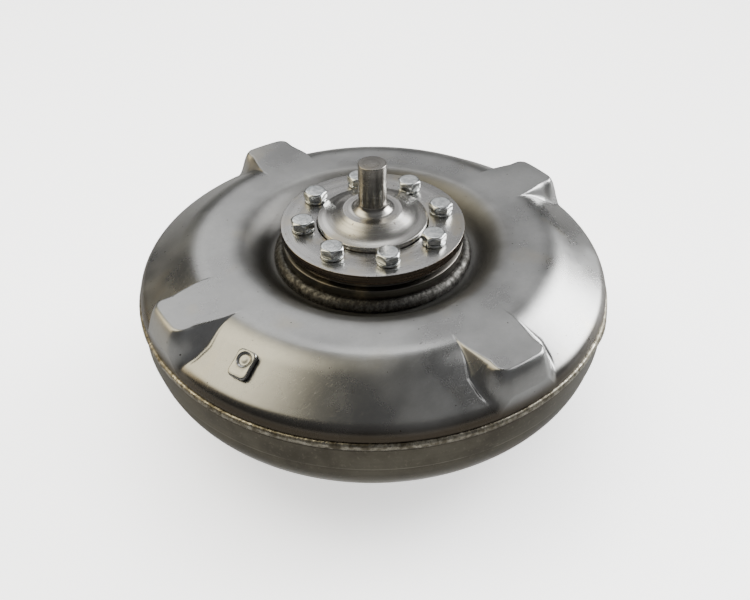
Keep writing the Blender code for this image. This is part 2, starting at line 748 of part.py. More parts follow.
def build_needle_bearing(name, low, high, inner_r, outer_r, body):
    """Thrust bearing cage: a flat ring with raised needles all round."""
    rim_w = 0.0012  # the cage's plain edge, inside and outside the needles
    rim_low = low + (high - low) * 0.3
    rim_high = high - (high - low) * 0.3
    columns = []
    for i in range(CORE_COLUMNS):
        angle = 2 * math.pi * i / CORE_COLUMNS
        bottom, top = (low, high) if i % 2 else (rim_low, rim_high)
        section = [
            (inner_r, rim_low), (inner_r + rim_w, bottom),
            (outer_r - rim_w, bottom), (outer_r, rim_low),
            (outer_r, rim_high), (outer_r - rim_w, top),
            (inner_r + rim_w, top), (inner_r, rim_high),
        ]
        columns.append([polar(r, angle, z) for r, z in section])
    bm = bmesh.new()
    grid_ring(bm, columns)
    finish_object(name, bm, "turned", body, 20.0)


def build_thrust_ring(name, low, high, inner_r, outer_r, finish, body):
    section = [(inner_r, low), (outer_r, low), (outer_r, high), (inner_r, high)]
    turn(name, section, CORE_COLUMNS, finish, body)


def build_bearings(bodies):
    front, rear, housing = bodies["front_bearing"], bodies["rear_bearing"], bodies["housing"]
    build_needle_bearing("front_needle_bearing", -0.0053, -0.0016, 0.0200, 0.0275, front)
    build_needle_bearing("rear_needle_bearing", -0.0375, -0.0340, 0.0215, 0.0300, rear)
    build_thrust_ring(
        "rear_bearing_race", -0.0400, -0.0378, 0.0210, 0.0310, "turned", housing
    )
    build_thrust_ring(
        "front_thrust_washer", 0.0081, 0.0102, 0.0145, 0.0262, "bronze", housing
    )


def build_pump_hub(body):
    """Flanged tube that carries the housing and drives the oil pump by two slots."""
    flange_r = FLANGE_BORE_R - GAP
    flange_low = -0.0455
    root_r, root_z = HUB_OUTER_R + 0.0022, -0.0490  # the tube flares out into its flange
    chamfer = 0.0010
    profile = [
        (HUB_BORE_R, -SEAM_Z), (HUB_OUTER_R - chamfer, -SEAM_Z),
        (HUB_OUTER_R, chamfer - SEAM_Z), (HUB_OUTER_R, root_z), (root_r, flange_low),
        (flange_r, flange_low), (flange_r, FLANGE_TOP_Z), (HUB_BORE_R, FLANGE_TOP_Z),
    ]
    hub = turn("pump_hub", profile, CORE_COLUMNS, "turned", body)
    bm = bmesh.new()
    reach, half_w, below = 0.040, HUB_SLOT_W / 2, 0.010
    outline = [(-reach, -half_w), (reach, -half_w), (reach, half_w), (-reach, half_w)]
    add_prism(bm, outline, -SEAM_Z - below, -SEAM_Z + HUB_SLOT_DEPTH)
    boolean(hub, finish_object("hub_slot_cutter", bm, "turned", body), "DIFFERENCE")


def build_hub_weld(body):
    """Fillet bead under the joint of pump shell and hub flange."""
    top = -0.0458
    profile = [(0.0348, top), (0.0352, -0.0478), (0.0376, -0.0490), (0.0402, -0.0480),
               (0.0412, top)]
    turn("hub_weld_bead", profile, CORE_COLUMNS, "weld", body)


# ---------------------------------------------------------------- assembly

def make_bodies():
    """One empty for each piece or group of pieces that moves by itself."""
    names = ("housing", "turbine", "inner_race", "stator", "front_bearing", "rear_bearing")
    bodies = {name: make_body(name) for name in names}
    roller_axis_r = RACE_R + GAP + ROLLER_R
    for i in range(ROLLER_COUNT):
        angle = i * 2 * math.pi / ROLLER_COUNT
        roller_body = make_body(f"roller_{i + 1}")
        roller_body.location += polar(roller_axis_r, angle, 0.0)
        roller_body.rotation_euler.z = angle
        bodies[roller_body.name] = roller_body
    return bodies


def main():
    clear_scene()
    bodies = make_bodies()
    housing, turbine, stator = bodies["housing"], bodies["turbine"], bodies["stator"]
    build_front_cover(housing)
    build_pump_shell(housing)
    build_seam_weld(housing)
    build_balance_weight(housing)
    build_drive_boss(housing)
    build_boss_weld(housing)
    build_clamp_ring(housing)
    build_pilot_shaft(housing)
    build_bolts(housing)
    build_lock_washers(housing)
    build_pump_blades(housing)
    build_pump_hub(housing)
    build_hub_weld(housing)
    build_turbine(turbine)
    build_turbine_hub(turbine)
    build_rivets(turbine)
    build_stator_wheel(stator)
    build_clutch_cam(stator)
    build_roller_cage(stator)
    build_clutch_sides(stator)
    build_clutch_rollers([bodies[f"roller_{i + 1}"] for i in range(ROLLER_COUNT)])
    build_inner_race(bodies["inner_race"])
    build_bearings(bodies)


main()
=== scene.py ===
import json
import math

import bmesh
import bpy
import numpy as np
from mathutils import Matrix, Vector


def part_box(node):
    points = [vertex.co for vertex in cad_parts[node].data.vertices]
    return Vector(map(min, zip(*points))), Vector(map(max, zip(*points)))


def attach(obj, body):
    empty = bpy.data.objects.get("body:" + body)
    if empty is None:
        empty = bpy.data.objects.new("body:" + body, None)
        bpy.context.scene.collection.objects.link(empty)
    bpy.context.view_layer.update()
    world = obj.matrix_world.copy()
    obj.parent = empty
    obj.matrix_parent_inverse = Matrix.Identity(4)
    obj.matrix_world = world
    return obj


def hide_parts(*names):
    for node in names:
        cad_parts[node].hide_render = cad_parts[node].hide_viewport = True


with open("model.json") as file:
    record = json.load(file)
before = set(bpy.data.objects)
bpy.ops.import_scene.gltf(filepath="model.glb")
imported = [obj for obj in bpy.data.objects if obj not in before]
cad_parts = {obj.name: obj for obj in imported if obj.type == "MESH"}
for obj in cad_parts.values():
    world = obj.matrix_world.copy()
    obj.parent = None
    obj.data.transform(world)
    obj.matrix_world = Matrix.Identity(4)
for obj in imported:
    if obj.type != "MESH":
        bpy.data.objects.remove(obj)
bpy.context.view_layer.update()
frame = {"nodes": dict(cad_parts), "record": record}

mm = 0.001
fullTurn = 2 * math.pi
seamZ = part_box("front_cover")[0][2] / mm + 0.3  # height of the weld seam, in mm

# Sizes below are in millimetres, and heights are from the seam.


# ---- camera, light and floor

camera = {
    "turn": -34.24, "rise": 37.33, "distance": 534, "aimUp": 2.01, "aimSide": -0.15,
    "roll": -0.39, "lens": 39.9, "sensor": 36, "clipStart": 10,
}
studio = {
    "floor": 0.95, "floorGlow": 1.1, "mirroredFloor": 0.16, "floorReach": 6000, "floorDrop": 0.5,
    "underGlow": 1.6, "underFrom": 160, "underTo": 100,
    "fillWatts": 150, "fillHeight": 2000, "fillSize": 2600,
    "below": 1.4, "dark": 0.12, "horizonBlur": 0.1, "backdrop": 2.3,
    # soft bright areas of the room: (turn from the camera, rise, inner and outer half angle, colour)
    "windows": [
        (180, 41, 8, 28, (0.56, 0.56, 0.57)),
        (-157, 38, 3, 15, (1.4, 1.4, 1.4)),
        (178, 57, 2, 10, (3.4, 3.4, 3.4)),
        (104, 53, 5, 15, (2.0, 2.0, 2.0)),
        (-102, 53, 6, 28, (3.2, 2.9, 2.1)),
        (118, 28, 7, 22, (14.0, 14.0, 14.0)),
        (-100, 20, 6, 18, (2.8, 2.3, 1.4)),
        (20, 35, 10, 45, (0.06, 0.06, 0.065)),
    ],
}


def addCamera():
    rise = math.radians(camera["rise"])
    look = rise + math.radians(camera["aimUp"])
    side = math.radians(camera["aimSide"])
    back = Vector((math.sin(side) * math.cos(look), -math.cos(side) * math.cos(look), math.sin(look)))
    right = Vector((math.cos(side), math.sin(side), 0))
    turned = Matrix((right, back.cross(right), back)).transposed()
    turned = turned @ Matrix.Rotation(math.radians(camera["roll"]), 3, "Z")
    place = turned.to_4x4()
    away = camera["distance"] * mm
    place.translation = Vector((0, -math.cos(rise) * away, math.sin(rise) * away))
    data = bpy.data.cameras.new("camera")
    data.lens = camera["lens"]
    data.sensor_width = camera["sensor"]
    data.clip_start = camera["clipStart"] * mm
    made = bpy.data.objects.new("camera", data)
    bpy.context.scene.collection.objects.link(made)
    lift = Matrix.Translation((0, 0, seamZ * mm))
    made.matrix_world = lift @ Matrix.Rotation(math.radians(camera["turn"]), 4, "Z") @ place
    bpy.context.scene.camera = made


def addFillLamp():
    # lights the floor and the matt parts from above; polished metal mirrors only the windows
    data = bpy.data.lights.new("fillLamp", "AREA")
    data.size = studio["fillSize"] * mm
    data.energy = studio["fillWatts"]
    made = bpy.data.objects.new("fillLamp", data)
    bpy.context.scene.collection.objects.link(made)
    made.location.z = studio["fillHeight"] * mm
    made.visible_glossy = False
    made.visible_camera = False


# ---- nodes as Python expressions

class Wire:
    # one node socket, so that maths on it can be written out

    def __init__(self, nodes, socket):
        self.nodes = nodes
        self.socket = socket

    def __add__(self, other):
        return self.nodes.calc("ADD", self, other)

    def __radd__(self, other):
        return self.nodes.calc("ADD", other, self)

    def __sub__(self, other):
        return self.nodes.calc("SUBTRACT", self, other)

    def __rsub__(self, other):
        return self.nodes.calc("SUBTRACT", other, self)

    def __mul__(self, other):
        return self.nodes.calc("MULTIPLY", self, other)

    def __rmul__(self, other):
        return self.nodes.calc("MULTIPLY", other, self)

    def __truediv__(self, other):
        return self.nodes.calc("DIVIDE", self, other)

    def __pow__(self, other):
        return self.nodes.calc("POWER", self, other)


class Nodes:
    # adds nodes to one tree

    def __init__(self, tree):
        self.tree = tree

    def add(self, kind, settings=None, inputs=None, output=0):
        node = self.tree.nodes.new(kind)
        for key, value in (settings or {}).items():
            setattr(node, key, value)
        for key, value in (inputs or {}).items():
            if isinstance(value, Wire):
                self.tree.links.new(value.socket, node.inputs[key])
            elif node.inputs[key].type == "RGBA":
                node.inputs[key].default_value = (*value[:3], 1.0)
            else:
                node.inputs[key].default_value = value
        return Wire(self, node.outputs[output])

    def calc(self, operation, *values):
        return self.add("ShaderNodeMath", {"operation": operation}, dict(enumerate(values)))

    def between(self, value, low, high):
        # 0 below low, 1 above high, and smooth in between
        return self.add(
            "ShaderNodeMapRange", {"interpolation_type": "SMOOTHSTEP"},
            {"Value": value, "From Min": low, "From Max": high},
        )

    def mix(self, share, first, second):
        return self.add("ShaderNodeMix", {"data_type": "RGBA"}, {0: share, 6: first, 7: second}, 2)

    def vector(self, x, y, z):
        return self.add("ShaderNodeCombineXYZ", None, {0: x, 1: y, 2: z})

    def noise(self, place, scale, detail=2.0, roughness=0.5):
        return self.add(
            "ShaderNodeTexNoise", None,
            {"Vector": place, "Scale": scale, "Detail": detail, "Roughness": roughness},
        )


class Finish(Nodes):
    # one material: its Principled shader, and the object's own coordinates

    def __init__(self, name):
        self.material = bpy.data.materials.new(name)
        self.material.use_nodes = True
        super().__init__(self.material.node_tree)
        self.shader = self.tree.nodes["Principled BSDF"]
        self.shader.inputs["Metallic"].default_value = 1.0
        self.place = self.add("ShaderNodeTexCoord", output=3)
        self.x = self.add("ShaderNodeSeparateXYZ", None, {0: self.place}, 0)
        self.y = self.add("ShaderNodeSeparateXYZ", None, {0: self.place}, 1)
        self.z = self.add("ShaderNodeSeparateXYZ", None, {0: self.place}, 2)
        self.r = (self.x * self.x + self.y * self.y) ** 0.5
        self.alongX = self.x / self.r
        self.alongY = self.y / self.r

    def rings(self, pitch, wander=0.6):
        # tool marks round the axis: noise that varies with radius and height only, nearly
        step = 1 / (pitch * mm)
        lines = self.vector(self.r * step + self.alongX * wander, self.z * step, self.alongY * wander)
        return self.noise(lines, 1.0, 3.0, 0.6)

    def scratches(self, degrees, width, length, cover):
        # thin straight marks in one direction: 1 on a mark, else 0
        turned = self.add(
            "ShaderNodeMapping", None,
            {"Vector": self.place, "Rotation": (0, 0, math.radians(degrees)),
             "Scale": (1 / (length * mm), 1 / (width * mm), 1 / (length * mm))},
        )
        return self.between(self.noise(turned, 1.0, 2.0, 0.55), 1 - cover - 0.02, 1 - cover)

    def bump(self, height, depth, strength=1.0, under=None):
        inputs = {"Height": height, "Distance": depth * mm, "Strength": strength}
        if under:
            inputs["Normal"] = under
        return self.add("ShaderNodeBump", None, inputs)

    def finish(self, colour, roughness, normal=None):
        self.tree.links.new(colour.socket, self.shader.inputs["Base Color"])
        self.tree.links.new(roughness.socket, self.shader.inputs["Roughness"])
        if normal:
            self.tree.links.new(normal.socket, self.shader.inputs["Normal"])
        return self.material


# ---- finishes

pressedSteelLook = {
    "dark": (0.34, 0.34, 0.335), "light": (0.50, 0.505, 0.50), "straw": (0.50, 0.45, 0.34),
    # painted shade: the dark tone that the cover takes towards the recess round the boss
    "pit": (0.06, 0.05, 0.045), "recess": (0.11, 0.107, 0.10), "recessFrom": 91, "recessTo": 72,
    # painted shade: the dark brown that the band just above the weld seam takes
    "heat": (0.072, 0.056, 0.036), "heatZ": (15, 3.5), "heatR": (139.5, 142.5),
    "roughness": (0.24, 0.36), "grain": 0.008, "wave": 0.05, "waveScale": 16,
    "cloudScale": 22, "fineScale": 420, "pitScale": 520, "stainScale": 34, "drawnScale": (900, 14),
    # scratches: direction, width, length and share of the surface
    "marks": ((25, 0.16, 9, 0.285), (-48, 0.14, 12, 0.285), (80, 0.18, 7, 0.29)),
    "markTone": (0.78, 0.77, 0.75),
}


def pressedSteel():
    look = pressedSteelLook
    f = Finish("pressedSteel")
    clouds = f.noise(f.place, look["cloudScale"], 3.0, 0.55)
    fine = f.noise(f.place, look["fineScale"], 3.0, 0.6)
    outwards, around = look["drawnScale"]
    drawn = f.noise(f.vector(f.r * outwards, f.alongX * around, f.alongY * around), 1.0, 3.0, 0.6)
    first, second, third = [f.scratches(*mark) for mark in look["marks"]]
    marks = first + second + third
    pits = f.between(f.noise(f.place, look["pitScale"], 1.0, 0.4), 0.765, 0.80)
    stains = f.between(f.noise(f.place, look["stainScale"], 2.0, 0.6), 0.58, 0.78)
    colour = f.mix(f.between(clouds, 0.30, 0.72), look["dark"], look["light"])
    colour = f.mix(stains * 0.35, colour, look["straw"])
    colour = f.mix(f.between(fine, 0.2, 0.8) * 0.25, colour, look["dark"])
    colour = f.mix(marks * 0.22, colour, look["markTone"])
    colour = f.mix(pits * 0.8, colour, look["pit"])
    # painted shade: the cover darkens, and roughens, towards the recess round the boss
    recess = f.between(f.r + (clouds - 0.5) * 0.012, look["recessFrom"] * mm, look["recessTo"] * mm)
    colour = f.mix(recess * 0.88, colour, look["recess"])
    # painted shade: the band of the rim just above the weld seam is painted dark brown
    aboveSeam = f.z - seamZ * mm + (clouds - 0.5) * 0.004
    highest, lowest = look["heatZ"]
    inner, outer = look["heatR"]
    heat = f.between(aboveSeam, highest * mm, lowest * mm) * f.between(f.r, inner * mm, outer * mm)
    colour = f.mix(heat * 0.94, colour, look["heat"])
    low, high = look["roughness"]
    roughness = low + f.between(clouds, 0.25, 0.75) * (high - low) + (fine - 0.5) * 0.05
    roughness = roughness + pits * 0.2 + recess * 0.22
    waves = f.bump(f.noise(f.place, look["waveScale"], 1.0, 0.5), look["wave"])
    normal = f.bump(drawn + fine * 0.3 - marks * 0.8 - pits * 2.0, look["grain"], 1.0, waves)
    return f.finish(colour, roughness, normal)


pumpSteelLook = {
    "dark": (0.105, 0.095, 0.074), "light": (0.21, 0.195, 0.155), "scale": (0.31, 0.29, 0.23),
    "worn": (0.36, 0.34, 0.28), "wornHalf": (0.9, 0.3), "cloudScale": 30, "fineScale": 600,
    "ringPitch": 1.6, "roughness": (0.32, 0.50), "grain": 0.02,
}


def pumpSteel():
    look = pumpSteelLook
    f = Finish("pumpSteel")
    clouds = f.noise(f.place, look["cloudScale"], 4.0, 0.6)
    fine = f.noise(f.place, look["fineScale"], 3.0, 0.6)
    drawn = f.rings(look["ringPitch"], 0.8)
    colour = f.mix(f.between(clouds, 0.3, 0.7), look["dark"], look["light"])
    colour = f.mix(f.between(fine, 0.55, 0.75) * 0.5, colour, look["scale"])
    # worn bright along the crease
    crease = f.z - (seamZ + pump["crease"]) * mm
    away, close = look["wornHalf"]
    worn = f.between(f.calc("ABSOLUTE", crease), away * mm, close * mm)
    worn = worn * f.between(clouds, 0.35, 0.55)
    colour = f.mix(worn * 0.7, colour, look["worn"])
    colour = f.mix(f.between(drawn, 0.3, 0.8) * 0.3, colour, look["dark"])
    low, high = look["roughness"]
    roughness = low + f.between(clouds, 0.25, 0.75) * (high - low) + (fine - 0.5) * 0.15
    return f.finish(colour, roughness, f.bump(drawn * 1.5 + fine, look["grain"]))


seamWeldLook = {
    "dark": (0.20, 0.18, 0.135), "light": (0.48, 0.45, 0.37), "shade": (0.09, 0.075, 0.05),
    "roughness": (0.24, 0.46), "grain": 0.03, "scale": 300, "shadeScale": 160, "shadeShare": 0.55,
}
bossWeldLook = {
    "dark": (0.055, 0.053, 0.049), "light": (0.15, 0.147, 0.138), "shade": (0.04, 0.037, 0.032),
    "roughness": (0.38, 0.58), "grain": 0.035, "scale": 380, "shadeScale": 160, "shadeShare": 0.5,
}


def weldMetal(name, look):
    f = Finish(name)
    lumps = f.noise(f.place, look["scale"], 4.0, 0.65)
    patches = f.noise(f.place, look["shadeScale"], 3.0, 0.6)
    colour = f.mix(f.between(lumps, 0.35, 0.65), look["dark"], look["light"])
    colour = f.mix(f.between(patches, 0.48, 0.62) * look["shadeShare"], colour, look["shade"])
    low, high = look["roughness"]
    roughness = high - f.between(lumps, 0.4, 0.7) * (high - low)
    return f.finish(colour, roughness, f.bump(lumps, look["grain"]))


turnedLooks = {
    "turnedSteel": {
        "dark": (0.42, 0.415, 0.40), "light": (0.58, 0.575, 0.56), "roughness": 0.26,
        "pitch": 0.5, "depth": 0.008, "stain": 0.45,
    },
    "clampSteel": {
        "dark": (0.40, 0.395, 0.385), "light": (0.55, 0.545, 0.53), "roughness": 0.27,
        "pitch": 0.5, "depth": 0.008, "stain": 0.4, "rustFrom": 55.95,
    },
    "bossSteel": {
        "dark": (0.09, 0.085, 0.075), "light": (0.20, 0.19, 0.17), "roughness": 0.34,
        "pitch": 0.6, "depth": 0.012, "stain": 0.5,
    },
    "groundSteel": {
        "dark": (0.44, 0.43, 0.41), "light": (0.66, 0.65, 0.62), "roughness": 0.25,
        "pitch": 0.55, "depth": 0.012, "stain": 0.35, "dullFrom": 50.0,
    },
}
turnedTones = {
    # painted shade: the dark brown tone that the ground shaft takes above its flange
    "straw": (0.56, 0.47, 0.30), "speck": (0.16, 0.12, 0.09), "dull": (0.13, 0.115, 0.095),
    "darkRust": (0.05, 0.038, 0.028), "lightRust": (0.20, 0.14, 0.09),
    "cloudScale": 45, "speckScale": 380,
}


def turnedSteel(name):
    # lathe-turned faces: rings round the axis, a few dents and straw-coloured stains
    look = turnedLooks[name]
    tones = turnedTones
    f = Finish(name)
    marks = f.rings(look["pitch"])
    coarse = f.rings(look["pitch"] * 6, 0.3)
    clouds = f.noise(f.place, tones["cloudScale"], 3.0, 0.6)
    specks = f.between(f.noise(f.place, tones["speckScale"], 1.0, 0.5), 0.74, 0.78)
    colour = f.mix(f.between(coarse, 0.3, 0.7), look["dark"], look["light"])
    colour = f.mix(f.between(clouds, 0.50, 0.72) * look["stain"], colour, tones["straw"])
    colour = f.mix(specks * 0.6, colour, tones["speck"])
    if "rustFrom" in look:
        # the outer edge has rusted
        start = look["rustFrom"] * mm
        rusty = f.between(f.r + (clouds - 0.5) * 0.0006, start, start + 0.35 * mm)
        rust = f.mix(f.between(marks, 0.35, 0.65), tones["darkRust"], tones["lightRust"])
        colour = f.mix(rusty * 0.9, colour, rust)
    if "dullFrom" in look:
        # painted shade: the shaft above its flange is painted darker and browner than the flange
        start = (seamZ + look["dullFrom"]) * mm
        dull = f.between(f.z, start, start + 1.5 * mm)
        colour = f.mix(dull * 0.62, colour, tones["dull"])
    rough = look["roughness"] + (f.between(clouds, 0.3, 0.7) - 0.5) * 0.08 + (marks - 0.5) * 0.10
    return f.finish(colour, rough, f.bump(marks + coarse * 0.5, look["depth"]))


zincLook = {
    "dark": (0.62, 0.645, 0.64), "light": (0.86, 0.88, 0.87), "blue": (0.66, 0.73, 0.78),
    "roughness": (0.16, 0.27), "grain": 0.003,
    "mottleScale": 330, "fineScale": 1400, "blueScale": 90,
}


def zincPlate():
    look = zincLook
    f = Finish("zincPlate")
    mottle = f.noise(f.place, look["mottleScale"], 4.0, 0.65)
    fine = f.noise(f.place, look["fineScale"], 2.0, 0.6)
    tint = f.between(f.noise(f.place, look["blueScale"], 2.0, 0.5), 0.5, 0.75)
    colour = f.mix(f.between(mottle, 0.35, 0.62), look["dark"], look["light"])
    colour = f.mix(tint * 0.35, colour, look["blue"])
    low, high = look["roughness"]
    roughness = low + f.between(mottle, 0.3, 0.7) * (high - low)
    return f.finish(colour, roughness, f.bump(mottle + fine * 0.5, look["grain"]))


# cast, drawn or blued metal: two tones, roughness, size of the clouds per metre, depth of grain
plainLooks = {
    "weightSteel": ((0.36, 0.36, 0.34), (0.52, 0.52, 0.50), 0.26, 60, 0.012),
    "springSteel": ((0.20, 0.21, 0.23), (0.36, 0.37, 0.40), 0.30, 80, 0.006),
    "bladeSteel": ((0.34, 0.33, 0.30), (0.50, 0.49, 0.45), 0.34, 50, 0.010),
    "castAluminium": ((0.52, 0.53, 0.54), (0.68, 0.69, 0.70), 0.48, 90, 0.03),
    "bearingBronze": ((0.40, 0.26, 0.11), (0.60, 0.42, 0.20), 0.36, 70, 0.008),
}
grainsPerCloud = 14


def plainMetal(name):
    dark, light, roughness, scale, depth = plainLooks[name]
    f = Finish(name)
    clouds = f.noise(f.place, scale, 3.0, 0.6)
    grain = f.noise(f.place, scale * grainsPerCloud, 3.0, 0.6)
    colour = f.mix(f.between(clouds, 0.3, 0.7), dark, light)
    colour = f.mix(f.between(grain, 0.5, 0.8) * 0.3, colour, dark)
    rough = roughness + (grain - 0.5) * 0.2
    return f.finish(colour, rough, f.bump(grain, depth))


def makeFinishes():
    # by material slot, with boss_weld and clamp_steel as variants
    return {
        "pressed_steel": pressedSteel(),
        "pump_steel": pumpSteel(),
        "weld_metal": weldMetal("seamWeldMetal", seamWeldLook),
        "boss_weld": weldMetal("bossWeldMetal", bossWeldLook),
        "zinc_plate": zincPlate(),
        "turned_steel": turnedSteel("turnedSteel"),
        "clamp_steel": turnedSteel("clampSteel"),
        "boss_steel": turnedSteel("bossSteel"),
        "ground_steel": turnedSteel("groundSteel"),
        "weight_steel": plainMetal("weightSteel"),
        "spring_steel": plainMetal("springSteel"),
        "blade_steel": plainMetal("bladeSteel"),
        "cast_aluminium": plainMetal("castAluminium"),
        "bearing_bronze": plainMetal("bearingBronze"),
    }


# ---- mesh tools

def roundedPath(corners, closed=False, arcSteps=5):
    # corners are (r, z) or (r, z, radius): each one with a radius becomes an arc
    points = []
    count = len(corners)
    for i, (r, z, *rest) in enumerate(corners):
        here = Vector((r, z))
        inside = closed or 0 < i < count - 1
        if not rest or not inside:
            points.append((r, z))
            continue
        radius = rest[0]
        before = (Vector(corners[i - 1][:2]) - here).normalized()
        after = (Vector(corners[(i + 1) % count][:2]) - here).normalized()
        half = before.angle(after) / 2
        centre = here + (before + after).normalized() * radius / math.sin(half)
        start = (here + before * radius / math.tan(half) - centre).normalized()
        end = (here + after * radius / math.tan(half) - centre).normalized()
        for k in range(arcSteps + 1):
            points.append(tuple(centre + start.slerp(end, k / arcSteps) * radius))
    return points


def meshFromGrid(name, grid, closedPath):
    # grid[column][row] is a point in mm from the seam: columns go round, rows along the path
    columns, rows = grid.shape[:2]
    points = grid.reshape(-1, 3) * mm + np.array((0, 0, seamZ * mm))
    here = np.arange(columns)[:, None] * rows + np.arange(rows)[None, :]
    right = np.roll(here, -1, axis=0)
    up = np.roll(here, -1, axis=1)
    upRight = np.roll(right, -1, axis=1)
    quads = np.stack((here, right, upRight, up), axis=2)
    if not closedPath:
        quads = quads[:, :-1]
    mesh = bpy.data.meshes.new(name)
    mesh.from_pydata(points.tolist(), [], quads.reshape(-1, 4).tolist())
    return tidyMesh(mesh)


def tidyMesh(mesh, sharpDegrees=38):
    bm = bmesh.new()
    bm.from_mesh(mesh)
    bmesh.ops.remove_doubles(bm, verts=bm.verts, dist=2e-6)
    bmesh.ops.dissolve_degenerate(bm, edges=bm.edges, dist=1e-7)
    bmesh.ops.recalc_face_normals(bm, faces=bm.faces)
    bm.to_mesh(mesh)
    bm.free()
    mesh.shade_smooth()
    mesh.set_sharp_from_angle(angle=math.radians(sharpDegrees))
    return mesh


def addPiece(name, mesh, finish):
    piece = bpy.data.objects.new(name, mesh)
    bpy.context.scene.collection.objects.link(piece)
    mesh.materials.clear()
    mesh.materials.append(finish)
    return piece


def spun(name, path, columns=180):
    # turns a path of (r, z) points round the axis: a path from axis to axis, or a closed one
    onAxis = path[0][0] == 0 and path[-1][0] == 0
    turns = np.arange(columns) * fullTurn / columns
    r = np.array([p[0] for p in path])
    z = np.array([p[1] for p in path])
    grid = np.empty((columns, len(path), 3))
    grid[:, :, 0] = np.cos(turns)[:, None] * r
    grid[:, :, 1] = np.sin(turns)[:, None] * r
    grid[:, :, 2] = z
    return meshFromGrid(name, grid, not onAxis)


def hand(piece, body, slot, *nodes):
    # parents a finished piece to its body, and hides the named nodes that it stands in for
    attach(piece, body)
    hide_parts(*nodes)
    print("  made", piece.name)


def baked(piece):
    # the piece with its modifiers turned into plain mesh
    graph = bpy.context.evaluated_depsgraph_get()
    mesh = bpy.data.meshes.new_from_object(piece.evaluated_get(graph))
    piece.modifiers.clear()
    piece.data = mesh
    return piece


def cut(piece, cutter):
    # takes the cutter's shape out of the piece and drops the cutter
    modifier = piece.modifiers.new("cut", "BOOLEAN")
    modifier.operation = "DIFFERENCE"
    modifier.solver = "EXACT"
    modifier.object = cutter
    baked(piece)
    bpy.data.objects.remove(cutter)
    tidyMesh(piece.data)
    return piece


def pinCutter(count, circleR, radius, low, high, firstTurn):
    # round pins on a circle, to be cut out of a piece
    bm = bmesh.new()
    for k in range(count):
        a = firstTurn + k * fullTurn / count
        place = Vector((circleR * math.cos(a), circleR * math.sin(a), (low + high) / 2 + seamZ)) * mm
        bmesh.ops.create_cone(
            bm, cap_ends=True, segments=32, radius1=radius * mm, radius2=radius * mm,
            depth=(high - low) * mm, matrix=Matrix.Translation(place),
        )
    mesh = bpy.data.meshes.new("pins")
    bm.to_mesh(mesh)
    bm.free()
    pins = bpy.data.objects.new("pins", mesh)
    bpy.context.scene.collection.objects.link(pins)
    return pins


# ---- front cover

cover = {
    "rim": 145.5, "plateau": 28.4, "slopeFoot": (145.4, 8.0), "slopeTop": 112, "shoulderR": 9.0,
    "plateauEdge": 5.5, "floor": 16.0, "floorEdge": 5.0, "recessR": 66.0, "recessSlope": 1.3,
    "recessEdge": 13.0, "bore": 29.8, "wall": 4.3, "rimWide": 1.8, "wallShares": (0.02, 0.25, 0.6, 0.9),
    "wallFoot": 0.9, "footRows": ((143.7, -0.3), (144.6, -0.3), (145.3, 0.4)), "innerRim": 3.8,
    "lobes": 4, "lobeHalf": (18.8, 17.0), "lobeFrom": 112, "lobeEnd": 141.2, "lobeSlope": 3.2,
    "lobeCorner": 7.0, "lobeEdge": 11.0, "lobeRoot": 7.0, "rootShare": 1.3, "lobesPast": 95,
    "hollowShare": 0.90, "hollowWidth": 8.4, "hollowLow": 0.84, "hollowBelow": 0.06,
    # (from, to, count): degrees from a lobe's middle, and radii from the rim inwards
    "columns": ((0, 4.6, 6), (4.6, 12.8, 36), (12.8, 45, 14)),
    "rows": ((145.48, 136, 34), (135.5, 108, 46), (105, 84, 8), (83, 62, 34), (58, 30.4, 5)),
    "innerEvery": 4,
}
tiny = 0.01


def smoothMin(a, b, k):
    # the lower of two heights, with a fillet about k wide where they cross
    h = np.clip(1 - np.abs(a - b) / k, 0, 1)
    return np.minimum(a, b) - h * h * k / 4


def smoothMax(a, b, k):
    return -smoothMin(-a, -b, k)


def domeHeight(r):
    c = cover
    footR, footZ = c["slopeFoot"]
    slope = (c["plateau"] - footZ) / (footR - c["slopeTop"])
    line = footZ + (footR - r) * slope
    tilt = math.atan(slope)
    centreR = c["rim"] - c["shoulderR"]
    touchR = centreR + c["shoulderR"] * math.sin(tilt)
    touchZ = footZ + (footR - touchR) * slope
    centreZ = touchZ - c["shoulderR"] * math.cos(tilt)
    lift = np.sqrt(np.clip(c["shoulderR"] ** 2 - (r - centreR) ** 2, 0, None))
    outer = np.where(r > touchR, centreZ + lift, line)
    outer = smoothMin(outer, np.full_like(r, c["plateau"]), c["plateauEdge"])
    recess = c["floor"] + (r - c["recessR"]) * c["recessSlope"]
    recess = smoothMax(recess, np.full_like(r, c["floor"]), c["floorEdge"])
    return smoothMin(outer, recess, c["recessEdge"])


